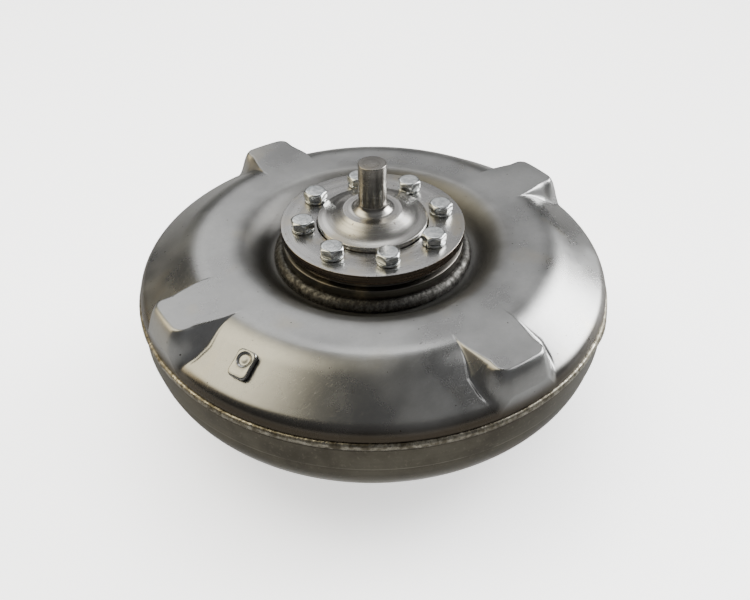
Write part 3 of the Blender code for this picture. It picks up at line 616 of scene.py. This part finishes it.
def coverHeight(r, turns):
    # height of the cover's outside at each radius and angle
    c = cover
    height = domeHeight(r)
    step = fullTurn / c["lobes"]
    nearest = (turns + step / 2) % step - step / 2
    along, across = r * np.cos(nearest), np.abs(r * np.sin(nearest))
    reach = np.clip((along - c["lobeFrom"]) / (c["lobeEnd"] - c["lobeFrom"]), 0, 1)
    half = c["lobeHalf"][0] + (c["lobeHalf"][1] - c["lobeHalf"][0]) * reach
    # distance outside a rectangle with rounded corners, seen from above
    pastEnd = r - c["lobeEnd"] + c["lobeCorner"]
    pastSide = across - half + c["lobeCorner"]
    outside = np.hypot(np.maximum(pastEnd, 0), np.maximum(pastSide, 0))
    outside += np.minimum(np.maximum(pastEnd, pastSide), 0) - c["lobeCorner"]
    top = np.full_like(r, c["plateau"])
    drop = c["plateau"] - height
    endWall = smoothMin(c["plateau"] - outside * c["lobeSlope"], top, c["lobeEdge"])
    # the fillet at the lobe's foot dies out where the dome is as high as the lobe
    fillet = np.clip(drop * c["rootShare"], tiny, c["lobeRoot"])
    end = smoothMax(height, endWall, fillet)
    # each side wall is a hollow, a parabola that rises again to a crisp edge on the slope
    width = np.clip(drop * c["hollowShare"], tiny, c["hollowWidth"])
    low = c["hollowLow"]
    depth = drop / (1 - (1 / low - 1) ** 2)
    reached = np.minimum(outside / width, 1)
    curve = np.where(reached > 0, 1 - (1 - reached / low) ** 2, reached * 2 / low)
    side = smoothMin(c["plateau"] - depth * curve, top, np.clip(drop, tiny, c["lobeEdge"]))
    side = np.where(outside < width, side, height)
    side = np.maximum(side, height - drop * c["hollowBelow"])
    towardsEnd = np.clip(pastEnd / c["lobeCorner"], 0, 1)
    towardsEnd = towardsEnd * towardsEnd * (3 - 2 * towardsEnd)
    return np.where(r > c["lobesPast"], side + (end - side) * towardsEnd, height)


def coverTurns():
    # column angles, closest together on the lobes' side walls
    half = []
    for first, last, count in cover["columns"]:
        half += [math.radians(first + (last - first) * (k + 0.5) / count) for k in range(count)]
    one = [-a for a in reversed(half)] + half
    return np.array([a + k * fullTurn / cover["lobes"] for k in range(cover["lobes"]) for a in one])


def ringAt(turns, r, z):
    # one row of the cover's grid: a level circle
    return np.stack((np.cos(turns) * r, np.sin(turns) * r, np.full_like(turns, z)), axis=1)[:, None]


def makeFrontCover(finishes):
    c = cover
    turns = coverTurns()
    radii = np.concatenate([np.linspace(*row) for row in c["rows"]])
    r, t = np.meshgrid(radii, turns)
    top = np.stack((r * np.cos(t), r * np.sin(t), coverHeight(r, t)), axis=2)
    # the wall under the shoulder, down to the weld groove
    wall = []
    for share in c["wallShares"]:
        point = top[:, :1].copy()
        point[:, :, 2] = top[:, :1, 2] * (1 - share) + c["wallFoot"] * share
        wall.insert(0, point)
    foot = [ringAt(turns, footR, footZ) for footR, footZ in c["footRows"]]
    # the inside follows the outside, one wall thickness under it
    every = -c["innerEvery"]
    inner = top[:, ::every].copy()
    alongRows = np.gradient(top, axis=1)[:, ::every]
    alongTurns = (np.roll(top, -1, axis=0) - np.roll(top, 1, axis=0))[:, ::every]
    normal = np.cross(alongRows, alongTurns)
    normal /= np.linalg.norm(normal, axis=2)[:, :, None]
    normal *= np.sign(normal[:, :, 2:3])
    inner -= normal * c["wall"]
    innerR = np.hypot(inner[:, :, 0], inner[:, :, 1])
    rimIn = c["rim"] - c["rimWide"]
    inner[:, :, :2] *= (np.minimum(innerR, rimIn - c["rimWide"]) / innerR)[:, :, None]
    bore = [
        ringAt(turns, c["bore"], c["floor"] - 0.6),
        ringAt(turns, c["bore"], c["floor"] - c["wall"] + 0.3),
    ]
    innerRim = ringAt(turns, rimIn - 0.2, c["innerRim"])
    grid = np.concatenate((*foot, *wall, top, *bore, inner, innerRim), axis=1)
    mesh = meshFromGrid("frontCover", grid, True)
    piece = addPiece("frontCover", mesh, finishes["pressed_steel"])
    hand(piece, "housing", "pressed_steel", "front_cover")


# ---- pump shell

pump = {
    "midZ": -20.0, "torusR": 94.5, "outside": (51.4, 39.4), "wall": 4.5, "band": 145.9,
    "flange": (-44.8, -40.3), "flangeBore": 38.0, "spigot": 142.6, "crease": -19.3,
    "creaseStep": 0.9,
}


def ellipse(centreR, centreZ, halfR, halfZ, start, stop, steps):
    angles = [math.radians(start + (stop - start) * k / steps) for k in range(steps + 1)]
    return [(centreR + halfR * math.cos(a), centreZ + halfZ * math.sin(a)) for a in angles]


def makePumpShell(finishes):
    p = pump
    halfR, halfZ = p["outside"]
    low, high = p["flange"]
    path = roundedPath([
        (p["spigot"] - 1.4, 3.5), (p["spigot"], 3.5), (p["spigot"], -2.6), (144.0, -2.6),
        (p["band"] - 0.1, -4.8),
    ])
    path += roundedPath([
        (p["band"], -5.4), (p["band"], -12.0), (p["band"], p["crease"], 0.35),
        (p["band"] - p["creaseStep"], p["crease"] - 0.2, 0.3), (p["band"] - p["creaseStep"] - 0.05, -21.0),
    ])
    path += ellipse(p["torusR"], p["midZ"], halfR - p["creaseStep"], halfZ, -3, -126, 60)
    path += roundedPath([(56.5, low + 0.2), (54.0, low), (p["flangeBore"], low), (p["flangeBore"], high)])
    path += [(54.0, high)]
    path += ellipse(p["torusR"], p["midZ"], halfR - p["wall"], halfZ - p["wall"], -131, 0, 44)
    mesh = spun("pumpShell", path, 300)
    hand(addPiece("pumpShell", mesh, finishes["pump_steel"]), "housing", "pump_steel", "pump_shell")


# ---- weld beads, by geometry nodes

def groupSocket(tree, name, kind, value=None, direction="INPUT"):
    made = tree.interface.new_socket(name, in_out=direction, socket_type=kind)
    if value is not None:
        made.default_value = value
    return made


beadShape = {"sides": 19, "lag": 0.8, "waver": 9, "waverDepth": 3, "skinScale": 700, "lumpSharpness": 120}


def weldBeadTree():
    # a round bead on a circle, with the ripples of the weld pool and a rough skin
    tree = bpy.data.node_groups.new("weldBead", "GeometryNodeTree")
    for name, value in (
        ("Radius", 0.147), ("Height", 0.0), ("Width", 0.002), ("Flatness", 1.0), ("Lean", 0.0),
        ("Ripple Step", 0.002), ("Ripple Depth", 0.0002), ("Roughness", 0.0003),
        ("Lump Turn", 0.0), ("Lump Size", 0.0), ("Seed", 0.0),
    ):
        groupSocket(tree, name, "NodeSocketFloat", value)
    groupSocket(tree, "Steps", "NodeSocketInt", 700)
    groupSocket(tree, "Finish", "NodeSocketMaterial")
    groupSocket(tree, "Geometry", "NodeSocketGeometry", None, "OUTPUT")
    n = Nodes(tree)
    inputNode = tree.nodes.new("NodeGroupInput")
    given = {s.name: Wire(n, s) for s in inputNode.outputs if s.name}
    grid = n.add(
        "GeometryNodeMeshGrid", None,
        {"Size X": 1.0, "Size Y": 1.0, "Vertices X": given["Steps"], "Vertices Y": beadShape["sides"]},
    )
    place = n.add("GeometryNodeInputPosition")
    turn = (n.add("ShaderNodeSeparateXYZ", None, {0: place}, 0) + 0.5) * fullTurn
    around = (n.add("ShaderNodeSeparateXYZ", None, {0: place}, 1) + 0.5) * fullTurn
    cosTurn, sinTurn = n.calc("COSINE", turn), n.calc("SINE", turn)
    cosAround, sinAround = n.calc("COSINE", around), n.calc("SINE", around)
    # each pool's edge is an arc across the bead, so its ripples lag at the sides
    arc = turn * given["Radius"] / given["Ripple Step"] + cosAround * beadShape["lag"]
    arc = arc + given["Seed"]
    waver = beadShape["waver"]
    unevenness = n.noise(n.vector(cosTurn * waver, sinTurn * waver, given["Seed"]), 1.0, 2.0, 0.5)
    ripple = n.calc("FRACT", arc + unevenness * beadShape["waverDepth"])
    skin = n.noise(
        n.vector(cosTurn * given["Radius"] * beadShape["skinScale"],
                 sinTurn * given["Radius"] * beadShape["skinScale"],
                 sinAround * 1.4 + cosAround * 0.9 + given["Seed"]),
        1.0, 3.0, 0.6,
    )
    fromLump = n.calc("WRAP", turn - given["Lump Turn"], math.pi, -math.pi)
    lump = n.calc("EXPONENT", fromLump * fromLump * -beadShape["lumpSharpness"]) * given["Lump Size"]
    size = given["Width"] + (ripple - 0.5) * given["Ripple Depth"]
    size = size + (skin - 0.5) * given["Roughness"] + (unevenness - 0.5) * given["Roughness"]
    size = size + lump
    out = size * cosAround
    up = size * sinAround * given["Flatness"]
    leanCos, leanSin = n.calc("COSINE", given["Lean"]), n.calc("SINE", given["Lean"])
    radius = given["Radius"] + out * leanCos - up * leanSin
    height = given["Height"] + out * leanSin + up * leanCos
    moved = n.add(
        "GeometryNodeSetPosition", None,
        {"Geometry": grid, "Position": n.vector(cosTurn * radius, sinTurn * radius, height)},
    )
    merged = n.add("GeometryNodeMergeByDistance", None, {"Geometry": moved, "Distance": 2e-6})
    real = n.add("GeometryNodeRealizeInstances", None, {"Geometry": merged})
    painted = n.add("GeometryNodeSetMaterial", None, {"Geometry": real, "Material": given["Finish"]})
    output = tree.nodes.new("NodeGroupOutput")
    tree.links.new(painted.socket, output.inputs[0])
    return tree


def fromTree(name, tree, **values):
    # runs a geometry tree with the named inputs and keeps the result as a plain mesh
    piece = bpy.data.objects.new(name, bpy.data.meshes.new(name))
    bpy.context.scene.collection.objects.link(piece)
    modifier = piece.modifiers.new(name, "NODES")
    modifier.node_group = tree
    for item in tree.interface.items_tree:
        key = item.name.replace(" ", "")
        key = key[0].lower() + key[1:]
        if item.in_out == "INPUT" and key in values:
            modifier[item.identifier] = values.pop(key)
    if values:
        raise ValueError(f"{tree.name} has no input {sorted(values)}")
    baked(piece)
    tidyMesh(piece.data, 60)
    return piece


welds = {
    "seamWeld": {
        "node": "seam_weld_bead", "finish": "weld_metal", "radius": 145.35, "height": -1.65,
        "width": 1.75, "flatness": 1.35, "lean": 0.0, "rippleStep": 2.2, "rippleDepth": 0.16,
        "roughness": 0.30, "steps": 1400, "lumpTurn": -58.0, "lumpSize": 1.1, "seed": 3.0,
    },
    "bossWeld": {
        "node": "boss_weld_bead", "finish": "boss_weld", "radius": 58.3, "height": 18.9,
        "width": 3.9, "flatness": 0.62, "lean": -0.75, "rippleStep": 2.6, "rippleDepth": 0.22,
        "roughness": 0.45, "steps": 800, "lumpTurn": 150.0, "lumpSize": 0.2, "seed": 11.0,
    },
    "hubWeld": {
        "node": "hub_weld_bead", "finish": "boss_weld", "radius": 38.0, "height": -46.9,
        "width": 2.2, "flatness": 0.8, "lean": 0.0, "rippleStep": 2.4, "rippleDepth": 0.25,
        "roughness": 0.35, "steps": 600, "lumpTurn": 40.0, "lumpSize": 0.3, "seed": 23.0,
    },
}


def makeWelds(finishes):
    tree = weldBeadTree()
    for name, w in welds.items():
        piece = fromTree(
            name, tree, radius=w["radius"] * mm, height=(w["height"] + seamZ) * mm,
            width=w["width"] * mm, flatness=w["flatness"], lean=w["lean"],
            rippleStep=w["rippleStep"] * mm, rippleDepth=w["rippleDepth"] * mm,
            roughness=w["roughness"] * mm, lumpTurn=math.radians(w["lumpTurn"]),
            lumpSize=w["lumpSize"] * mm, seed=w["seed"], steps=w["steps"],
            finish=finishes[w["finish"]],
        )
        hand(piece, "housing", "weld_metal", w["node"])


# ---- balance weight

weight = {
    "turn": -156.8, "r": 127.0, "z": 19.5, "slope": 31.4, "half": (8.1, 6.0), "corner": 3.0,
    "thick": 2.7, "edge": 1.1, "dimple": (-2.6, 4.5, 0.85), "lift": 0.75, "outlinePoints": 96,
    # the spot weld's mark, from its lip inwards: share of its radius, share of its depth
    "dimpleRows": ((1.12, 0), (1, -0.12), (0.88, 0.4), (0.66, 0.95), (0.5, 1), (0.3, 0.7), (0, 0.6)),
}


def roundedOutline(halfX, halfY, corner, steps, count):
    # a rectangle with rounded corners as evenly spaced points
    points = []
    for signX, signY, first in ((1, 1, 0), (-1, 1, 90), (-1, -1, 180), (1, -1, 270)):
        for k in range(steps + 1):
            a = math.radians(first + 90 * k / steps)
            points.append(Vector((
                signX * (halfX - corner) + corner * math.cos(a),
                signY * (halfY - corner) + corner * math.sin(a), 0,
            )))
    points.append(points[0])
    along = np.cumsum([0] + [(q - p).length for p, q in zip(points, points[1:])])
    wanted = np.arange(count) * along[-1] / count
    x = np.interp(wanted, along, [p.x for p in points])
    y = np.interp(wanted, along, [p.y for p in points])
    return [Vector((px, py, 0)) for px, py in zip(x, y)]


def makeBalanceWeight(finishes):
    w = weight
    halfX, halfY = w["half"]
    outline = roundedOutline(halfX, halfY, w["corner"], 8, w["outlinePoints"])
    dimpleX, dimpleR, dimpleDepth = w["dimple"]
    centre = Vector((dimpleX, 0, 0))
    columns = []
    for point in outline:
        inward = (centre - point).normalized()
        ring = centre - inward * dimpleR
        column = [point * 0.2, point + inward * 0.3, point + Vector((0, 0, 0.4))]
        for k in range(5):
            a = math.radians(90 * k / 4)
            column.append(point + inward * w["edge"] * (1 - math.cos(a))
                          + Vector((0, 0, w["thick"] - w["edge"] * (1 - math.sin(a)))))
        column += [point.lerp(ring, share) + Vector((0, 0, w["thick"])) for share in (0.4, 0.7)]
        for share, depth in w["dimpleRows"]:
            column.append(centre - inward * dimpleR * share
                          + Vector((0, 0, w["thick"] - dimpleDepth * depth)))
        columns.append(column)
    bm = bmesh.new()
    rings = [[bm.verts.new(p * mm) for p in column] for column in columns]
    for left, right in zip(rings, rings[1:] + rings[:1]):
        for k in range(len(left) - 1):
            bm.faces.new((left[k], right[k], right[k + 1], left[k + 1]))
    bm.faces.new([ring[0] for ring in rings])
    bm.transform(
        Matrix.Rotation(math.radians(w["turn"]), 4, "Z")
        @ Matrix.Translation(Vector((w["r"], 0, seamZ + w["z"])) * mm)
        @ Matrix.Rotation(math.radians(w["slope"]), 4, "Y")
        @ Matrix.Translation((0, 0, w["lift"] * mm))
    )
    mesh = bpy.data.meshes.new("balanceWeight")
    bm.to_mesh(mesh)
    bm.free()
    piece = addPiece("balanceWeight", tidyMesh(mesh), finishes["weight_steel"])
    hand(piece, "housing", "weight_steel", "balance_weight")


# ---- drive boss, clamp ring and pilot

boltCircle = {"count": 8, "r": 43.0, "firstTurn": fullTurn / 16, "ownTurn": 3.1, "seeds": (4, 9)}
drive = {
    "bossHole": 4.3, "bossPins": (17.5, 40), "ringHole": 4.5, "ringPins": (28, 44),
    "boss": [
        (0, 10.5), (29.4, 10.5, 0.6), (29.4, 16.3), (55.9, 16.3), (55.9, 27.6, 0.8), (52.2, 28.6, 0.8),
        (52.0, 32.5, 0.3), (34.2, 32.5, 0.3), (34.2, 30.0), (12.3, 30.0, 0.3), (12.3, 20.0), (0, 20.0),
    ],
    "ring": [
        (34.2, 32.8, 0.4), (56.35, 32.8, 0.5), (56.35, 38.8, 0.45), (34.2, 38.8, 0.4),
    ],
    "pilot": [
        (0, 20.3), (12.0, 20.3, 0.6), (12.0, 30.3), (33.6, 30.3, 0.4), (33.7, 41.9, 0.6), (27.0, 43.4, 30),
        (18.9, 47.4, 0.6), (17.9, 47.9, 0.4), (12.6, 48.1, 4.5), (8.6, 51.6, 3.6), (8.5, 78.9, 0.7),
        (0, 79.0),
    ],
}


def makeDriveEnd(finishes):
    b = boltCircle
    boss = addPiece("driveBoss", spun("driveBoss", roundedPath(drive["boss"])), finishes["boss_steel"])
    cut(boss, pinCutter(b["count"], b["r"], drive["bossHole"], *drive["bossPins"], b["firstTurn"]))
    hand(boss, "housing", "boss_steel", "drive_boss")
    ringPath = roundedPath(drive["ring"], closed=True)
    ring = addPiece("clampRing", spun("clampRing", ringPath, 240), finishes["clamp_steel"])
    cut(ring, pinCutter(b["count"], b["r"], drive["ringHole"], *drive["ringPins"], b["firstTurn"]))
    hand(ring, "housing", "turned_steel", "clamp_ring")
    pilotPath = roundedPath(drive["pilot"], arcSteps=7)
    pilot = addPiece("pilotShaft", spun("pilotShaft", pilotPath, 160), finishes["ground_steel"])
    hand(pilot, "housing", "ground_steel", "pilot_shaft")


# ---- bolts and spring washers, copied round their circle by geometry nodes

bolt = {
    "flats": 13.0, "head": 5.0, "chamferR": 5.9, "chamferSlope": 0.55, "shank": 3.98,
    "shankEnd": 19.0, "under": 41.1, "columns": 72, "topStep": 0.06, "footEdge": 0.35, "shankEdge": 0.8,
}
washer = {
    "inner": 4.4, "outer": 7.05, "thick": 1.7, "low": 39.1, "slit": 9.0, "spring": 0.22,
    "edge": 0.35, "steps": 60,
}


def ringOfCopiesTree():
    # copies one object onto a circle, each turned by its own amount
    tree = bpy.data.node_groups.new("ringOfCopies", "GeometryNodeTree")
    groupSocket(tree, "Copied", "NodeSocketObject")
    groupSocket(tree, "Count", "NodeSocketInt", 8)
    for name, value in (("Circle Radius", 0.043), ("First Turn", 0.0), ("Own Turn", 0.0)):
        groupSocket(tree, name, "NodeSocketFloat", value)
    groupSocket(tree, "Seed", "NodeSocketInt", 0)
    groupSocket(tree, "Finish", "NodeSocketMaterial")
    groupSocket(tree, "Geometry", "NodeSocketGeometry", None, "OUTPUT")
    n = Nodes(tree)
    inputNode = tree.nodes.new("NodeGroupInput")
    given = {s.name: Wire(n, s) for s in inputNode.outputs if s.name}
    index = n.add("GeometryNodeInputIndex")
    turn = given["First Turn"] + index * fullTurn / given["Count"]
    points = n.add("GeometryNodePoints", None, {
        "Count": given["Count"],
        "Position": n.vector(
            n.calc("COSINE", turn) * given["Circle Radius"],
            n.calc("SINE", turn) * given["Circle Radius"], 0.0,
        ),
    })
    # the random value runs from -1 to 1 and is scaled by Own Turn
    random = n.add(
        "FunctionNodeRandomValue", {"data_type": "FLOAT"},
        {2: -1.0, 3: 1.0, "Seed": given["Seed"]}, 1,
    )
    copied = n.add(
        "GeometryNodeObjectInfo", {"transform_space": "ORIGINAL"}, {"Object": given["Copied"]}, 4,
    )
    instances = n.add("GeometryNodeInstanceOnPoints", None, {
        "Points": points, "Instance": copied,
        "Rotation": n.vector(0.0, 0.0, turn + random * given["Own Turn"]),
    })
    real = n.add("GeometryNodeRealizeInstances", None, {"Geometry": instances})
    painted = n.add("GeometryNodeSetMaterial", None, {"Geometry": real, "Material": given["Finish"]})
    output = tree.nodes.new("NodeGroupOutput")
    tree.links.new(painted.socket, output.inputs[0])
    return tree


def boltMesh():
    # hexagon head whose cone-cut top leaves curved edges on its flats, and a shank below
    b = bolt
    turns = np.arange(b["columns"]) * fullTurn / b["columns"]
    toFlat = (turns + fullTurn / 12) % (fullTurn / 6) - fullTurn / 12
    edge = b["flats"] / 2 / np.cos(toFlat)
    top = b["under"] + b["head"]
    rows = [
        (np.zeros_like(turns), np.full_like(turns, top)),
        (np.full_like(turns, b["chamferR"] - 0.6), np.full_like(turns, top)),
        (np.full_like(turns, b["chamferR"]), np.full_like(turns, top - b["topStep"])),
    ]
    for share in (0.5, 0.93):
        r = b["chamferR"] + (edge - b["chamferR"]) * share
        rows.append((r, top - b["topStep"] - (r - b["chamferR"]) * b["chamferSlope"]))
    rows.append((edge, top - 0.16 - (edge - b["chamferR"]) * b["chamferSlope"]))
    for inset, lift in ((0.0, 0.3), (0.1, 0.06)):
        rows.append((edge - inset, np.full_like(turns, b["under"] + lift)))
    rows.append((edge - b["footEdge"], np.full_like(turns, b["under"])))
    end, shank = b["shankEnd"], b["shank"]
    for z, r in ((b["under"], shank), (end + 1, shank), (end, shank - b["shankEdge"])):
        rows.append((np.full_like(turns, r), np.full_like(turns, z)))
    rows.append((np.zeros_like(turns), np.full_like(turns, b["shankEnd"])))
    grid = np.stack([
        np.stack((r * np.cos(turns), r * np.sin(turns), z), axis=1) for r, z in rows
    ], axis=1)
    return meshFromGrid("bolt", grid, False)


def washerMesh():
    # a split ring whose ends don't quite line up
    w = washer
    steps = w["steps"]
    span = fullTurn - math.radians(w["slit"])
    high = w["thick"] - w["spring"]
    corners = ((w["inner"], 0), (w["outer"], 0), (w["outer"], high), (w["inner"], high))
    section = roundedPath([(*corner, w["edge"]) for corner in corners], closed=True, arcSteps=3)
    bm = bmesh.new()
    rings = []
    for k in range(steps + 1):
        a = math.radians(w["slit"]) / 2 + span * k / steps
        rise = w["low"] + seamZ + w["spring"] * k / steps
        rings.append([
            bm.verts.new(Vector((r * math.cos(a), r * math.sin(a), z + rise)) * mm) for r, z in section
        ])
    for left, right in zip(rings, rings[1:]):
        for k in range(len(left)):
            j = (k + 1) % len(left)
            bm.faces.new((left[k], left[j], right[j], right[k]))
    bm.faces.new(rings[0])
    bm.faces.new(rings[-1])
    mesh = bpy.data.meshes.new("washer")
    bm.to_mesh(mesh)
    bm.free()
    return tidyMesh(mesh)


def makeCopies(name, mesh, tree, finish, seed):
    b = boltCircle
    source = bpy.data.objects.new(name + "Source", mesh)
    bpy.context.scene.collection.objects.link(source)
    piece = fromTree(
        name, tree, copied=source, count=b["count"], circleRadius=b["r"] * mm,
        firstTurn=b["firstTurn"], ownTurn=b["ownTurn"], seed=seed, finish=finish,
    )
    bpy.data.objects.remove(source)
    return piece


def makeFasteners(finishes):
    tree = ringOfCopiesTree()
    zinc = finishes["zinc_plate"]
    numbers = range(1, boltCircle["count"] + 1)
    boltSeed, washerSeed = boltCircle["seeds"]
    bolts = makeCopies("ringBolts", boltMesh(), tree, zinc, boltSeed)
    hand(bolts, "housing", "zinc_plate", *[f"ring_bolt_{k}" for k in numbers])
    washers = makeCopies("springWashers", washerMesh(), tree, zinc, washerSeed)
    hand(washers, "housing", "zinc_plate", *[f"spring_washer_{k}" for k in numbers])


# ---- pump hub

hub = {
    "path": [
        (20.0, -97.0, 0.6), (25.0, -97.0, 1.0), (25.0, -49.5, 1.2), (27.4, -45.5, 0.6), (37.7, -45.5, 0.3),
        (37.7, -40.3, 0.3), (20.0, -40.3, 0.5),
    ],
    "slotHalf": 6.0, "slotDepth": 9.0, "slotReach": 40.0,
}


def makePumpHub(finishes):
    mesh = spun("pumpHub", roundedPath(hub["path"], closed=True), 160)
    piece = addPiece("pumpHub", mesh, finishes["turned_steel"])
    bm = bmesh.new()
    depth = hub["slotDepth"]
    size = Matrix.Diagonal((2 * hub["slotReach"] * mm, 2 * hub["slotHalf"] * mm, 2 * depth * mm, 1))
    bmesh.ops.create_cube(bm, size=1, matrix=size)
    slotMesh = bpy.data.meshes.new("slot")
    bm.to_mesh(slotMesh)
    bm.free()
    slot = bpy.data.objects.new("slot", slotMesh)
    bpy.context.scene.collection.objects.link(slot)
    cut(piece, slot)
    hand(piece, "housing", "turned_steel", "pump_hub")


# ---- stage

def stageFloor():
    mesh = bpy.data.meshes.new("floor")
    reach = studio["floorReach"] * mm
    corners = [(-reach, -reach, 0), (reach, -reach, 0), (reach, reach, 0), (-reach, reach, 0)]
    mesh.from_pydata(corners, [], [(0, 1, 2, 3)])
    floor = bpy.data.objects.new("floor", mesh)
    bpy.context.scene.collection.objects.link(floor)
    floor.location.z = -studio["floorDrop"] * mm
    material = bpy.data.materials.new("paleFloor")
    material.use_nodes = True
    n = Nodes(material.node_tree)
    shader = n.tree.nodes["Principled BSDF"]
    # the metal mirrors a darker floor than the camera sees, and from below the floor is clear
    seen = n.add("ShaderNodeLightPath", output=0)
    shade = n.mix(seen, (studio["mirroredFloor"],) * 3, (studio["floor"],) * 3)
    n.tree.links.new(shade.socket, shader.inputs["Base Color"])
    # out of sight beneath the part, the floor lights its underside
    place = n.add("ShaderNodeTexCoord", output=3)
    away = n.add("ShaderNodeVectorMath", {"operation": "LENGTH"}, {0: place}, 1)
    beneath = n.between(away, studio["underFrom"] * mm, studio["underTo"] * mm)
    under = n.mix(beneath, (0, 0, 0), (studio["underGlow"],) * 3)
    glow = n.mix(seen, under, (studio["floorGlow"],) * 3)
    n.tree.links.new(glow.socket, shader.inputs["Emission Color"])
    shader.inputs["Emission Strength"].default_value = 1
    fromBelow = n.add("ShaderNodeNewGeometry", output=6)
    clear = n.add("ShaderNodeBsdfTransparent")
    both = n.add(
        "ShaderNodeMixShader", None, {0: fromBelow, 1: Wire(n, shader.outputs[0]), 2: clear},
    )
    n.tree.links.new(both.socket, n.tree.nodes["Material Output"].inputs[0])
    mesh.materials.append(material)


def stageLight():
    world = bpy.data.worlds.new("studio")
    bpy.context.scene.world = world
    world.use_nodes = True
    n = Nodes(world.node_tree)
    direction = n.add("ShaderNodeTexCoord", output=0)
    height = n.add("ShaderNodeSeparateXYZ", None, {0: direction}, 2)
    low = n.between(height, 0.0, -studio["horizonBlur"])
    colour = n.mix(low, (studio["dark"],) * 3, (studio["below"],) * 3)
    for turn, rise, inner, outer, tint in studio["windows"]:
        a, e = math.radians(turn + camera["turn"]), math.radians(rise)
        centre = (math.sin(a) * math.cos(e), -math.cos(a) * math.cos(e), math.sin(e))
        towards = n.add(
            "ShaderNodeVectorMath", {"operation": "DOT_PRODUCT"}, {0: direction, 1: centre}, 1,
        )
        share = n.between(towards, math.cos(math.radians(outer)), math.cos(math.radians(inner)))
        window = n.mix(share, (0.0, 0.0, 0.0), tint)
        colour = n.add("ShaderNodeVectorMath", {"operation": "ADD"}, {0: colour, 1: window})
    # the camera sees a plain pale room, and only the metal mirrors the windows
    seen = n.add("ShaderNodeLightPath", output=0)
    colour = n.mix(seen, colour, (studio["backdrop"],) * 3)
    n.tree.links.new(colour.socket, n.tree.nodes["Background"].inputs["Color"])
    addFillLamp()


def carryOver(finishes):
    # every node that no piece stands for keeps its mesh and gets its slot's finish
    slots = {part["node"]: part["material_slot"] for part in frame["record"]["subparts"]}
    for name, node in frame["nodes"].items():
        for place in node.material_slots:
            place.material = finishes[slots[name]]


addCamera()
stageFloor()
stageLight()
print("stage ready")
finishes = makeFinishes()
carryOver(finishes)
print("finishes ready:", len(finishes))
makeFrontCover(finishes)
makePumpShell(finishes)
makeWelds(finishes)
makeBalanceWeight(finishes)
print("housing ready")
makeDriveEnd(finishes)
makeFasteners(finishes)
makePumpHub(finishes)
print("drive end ready")
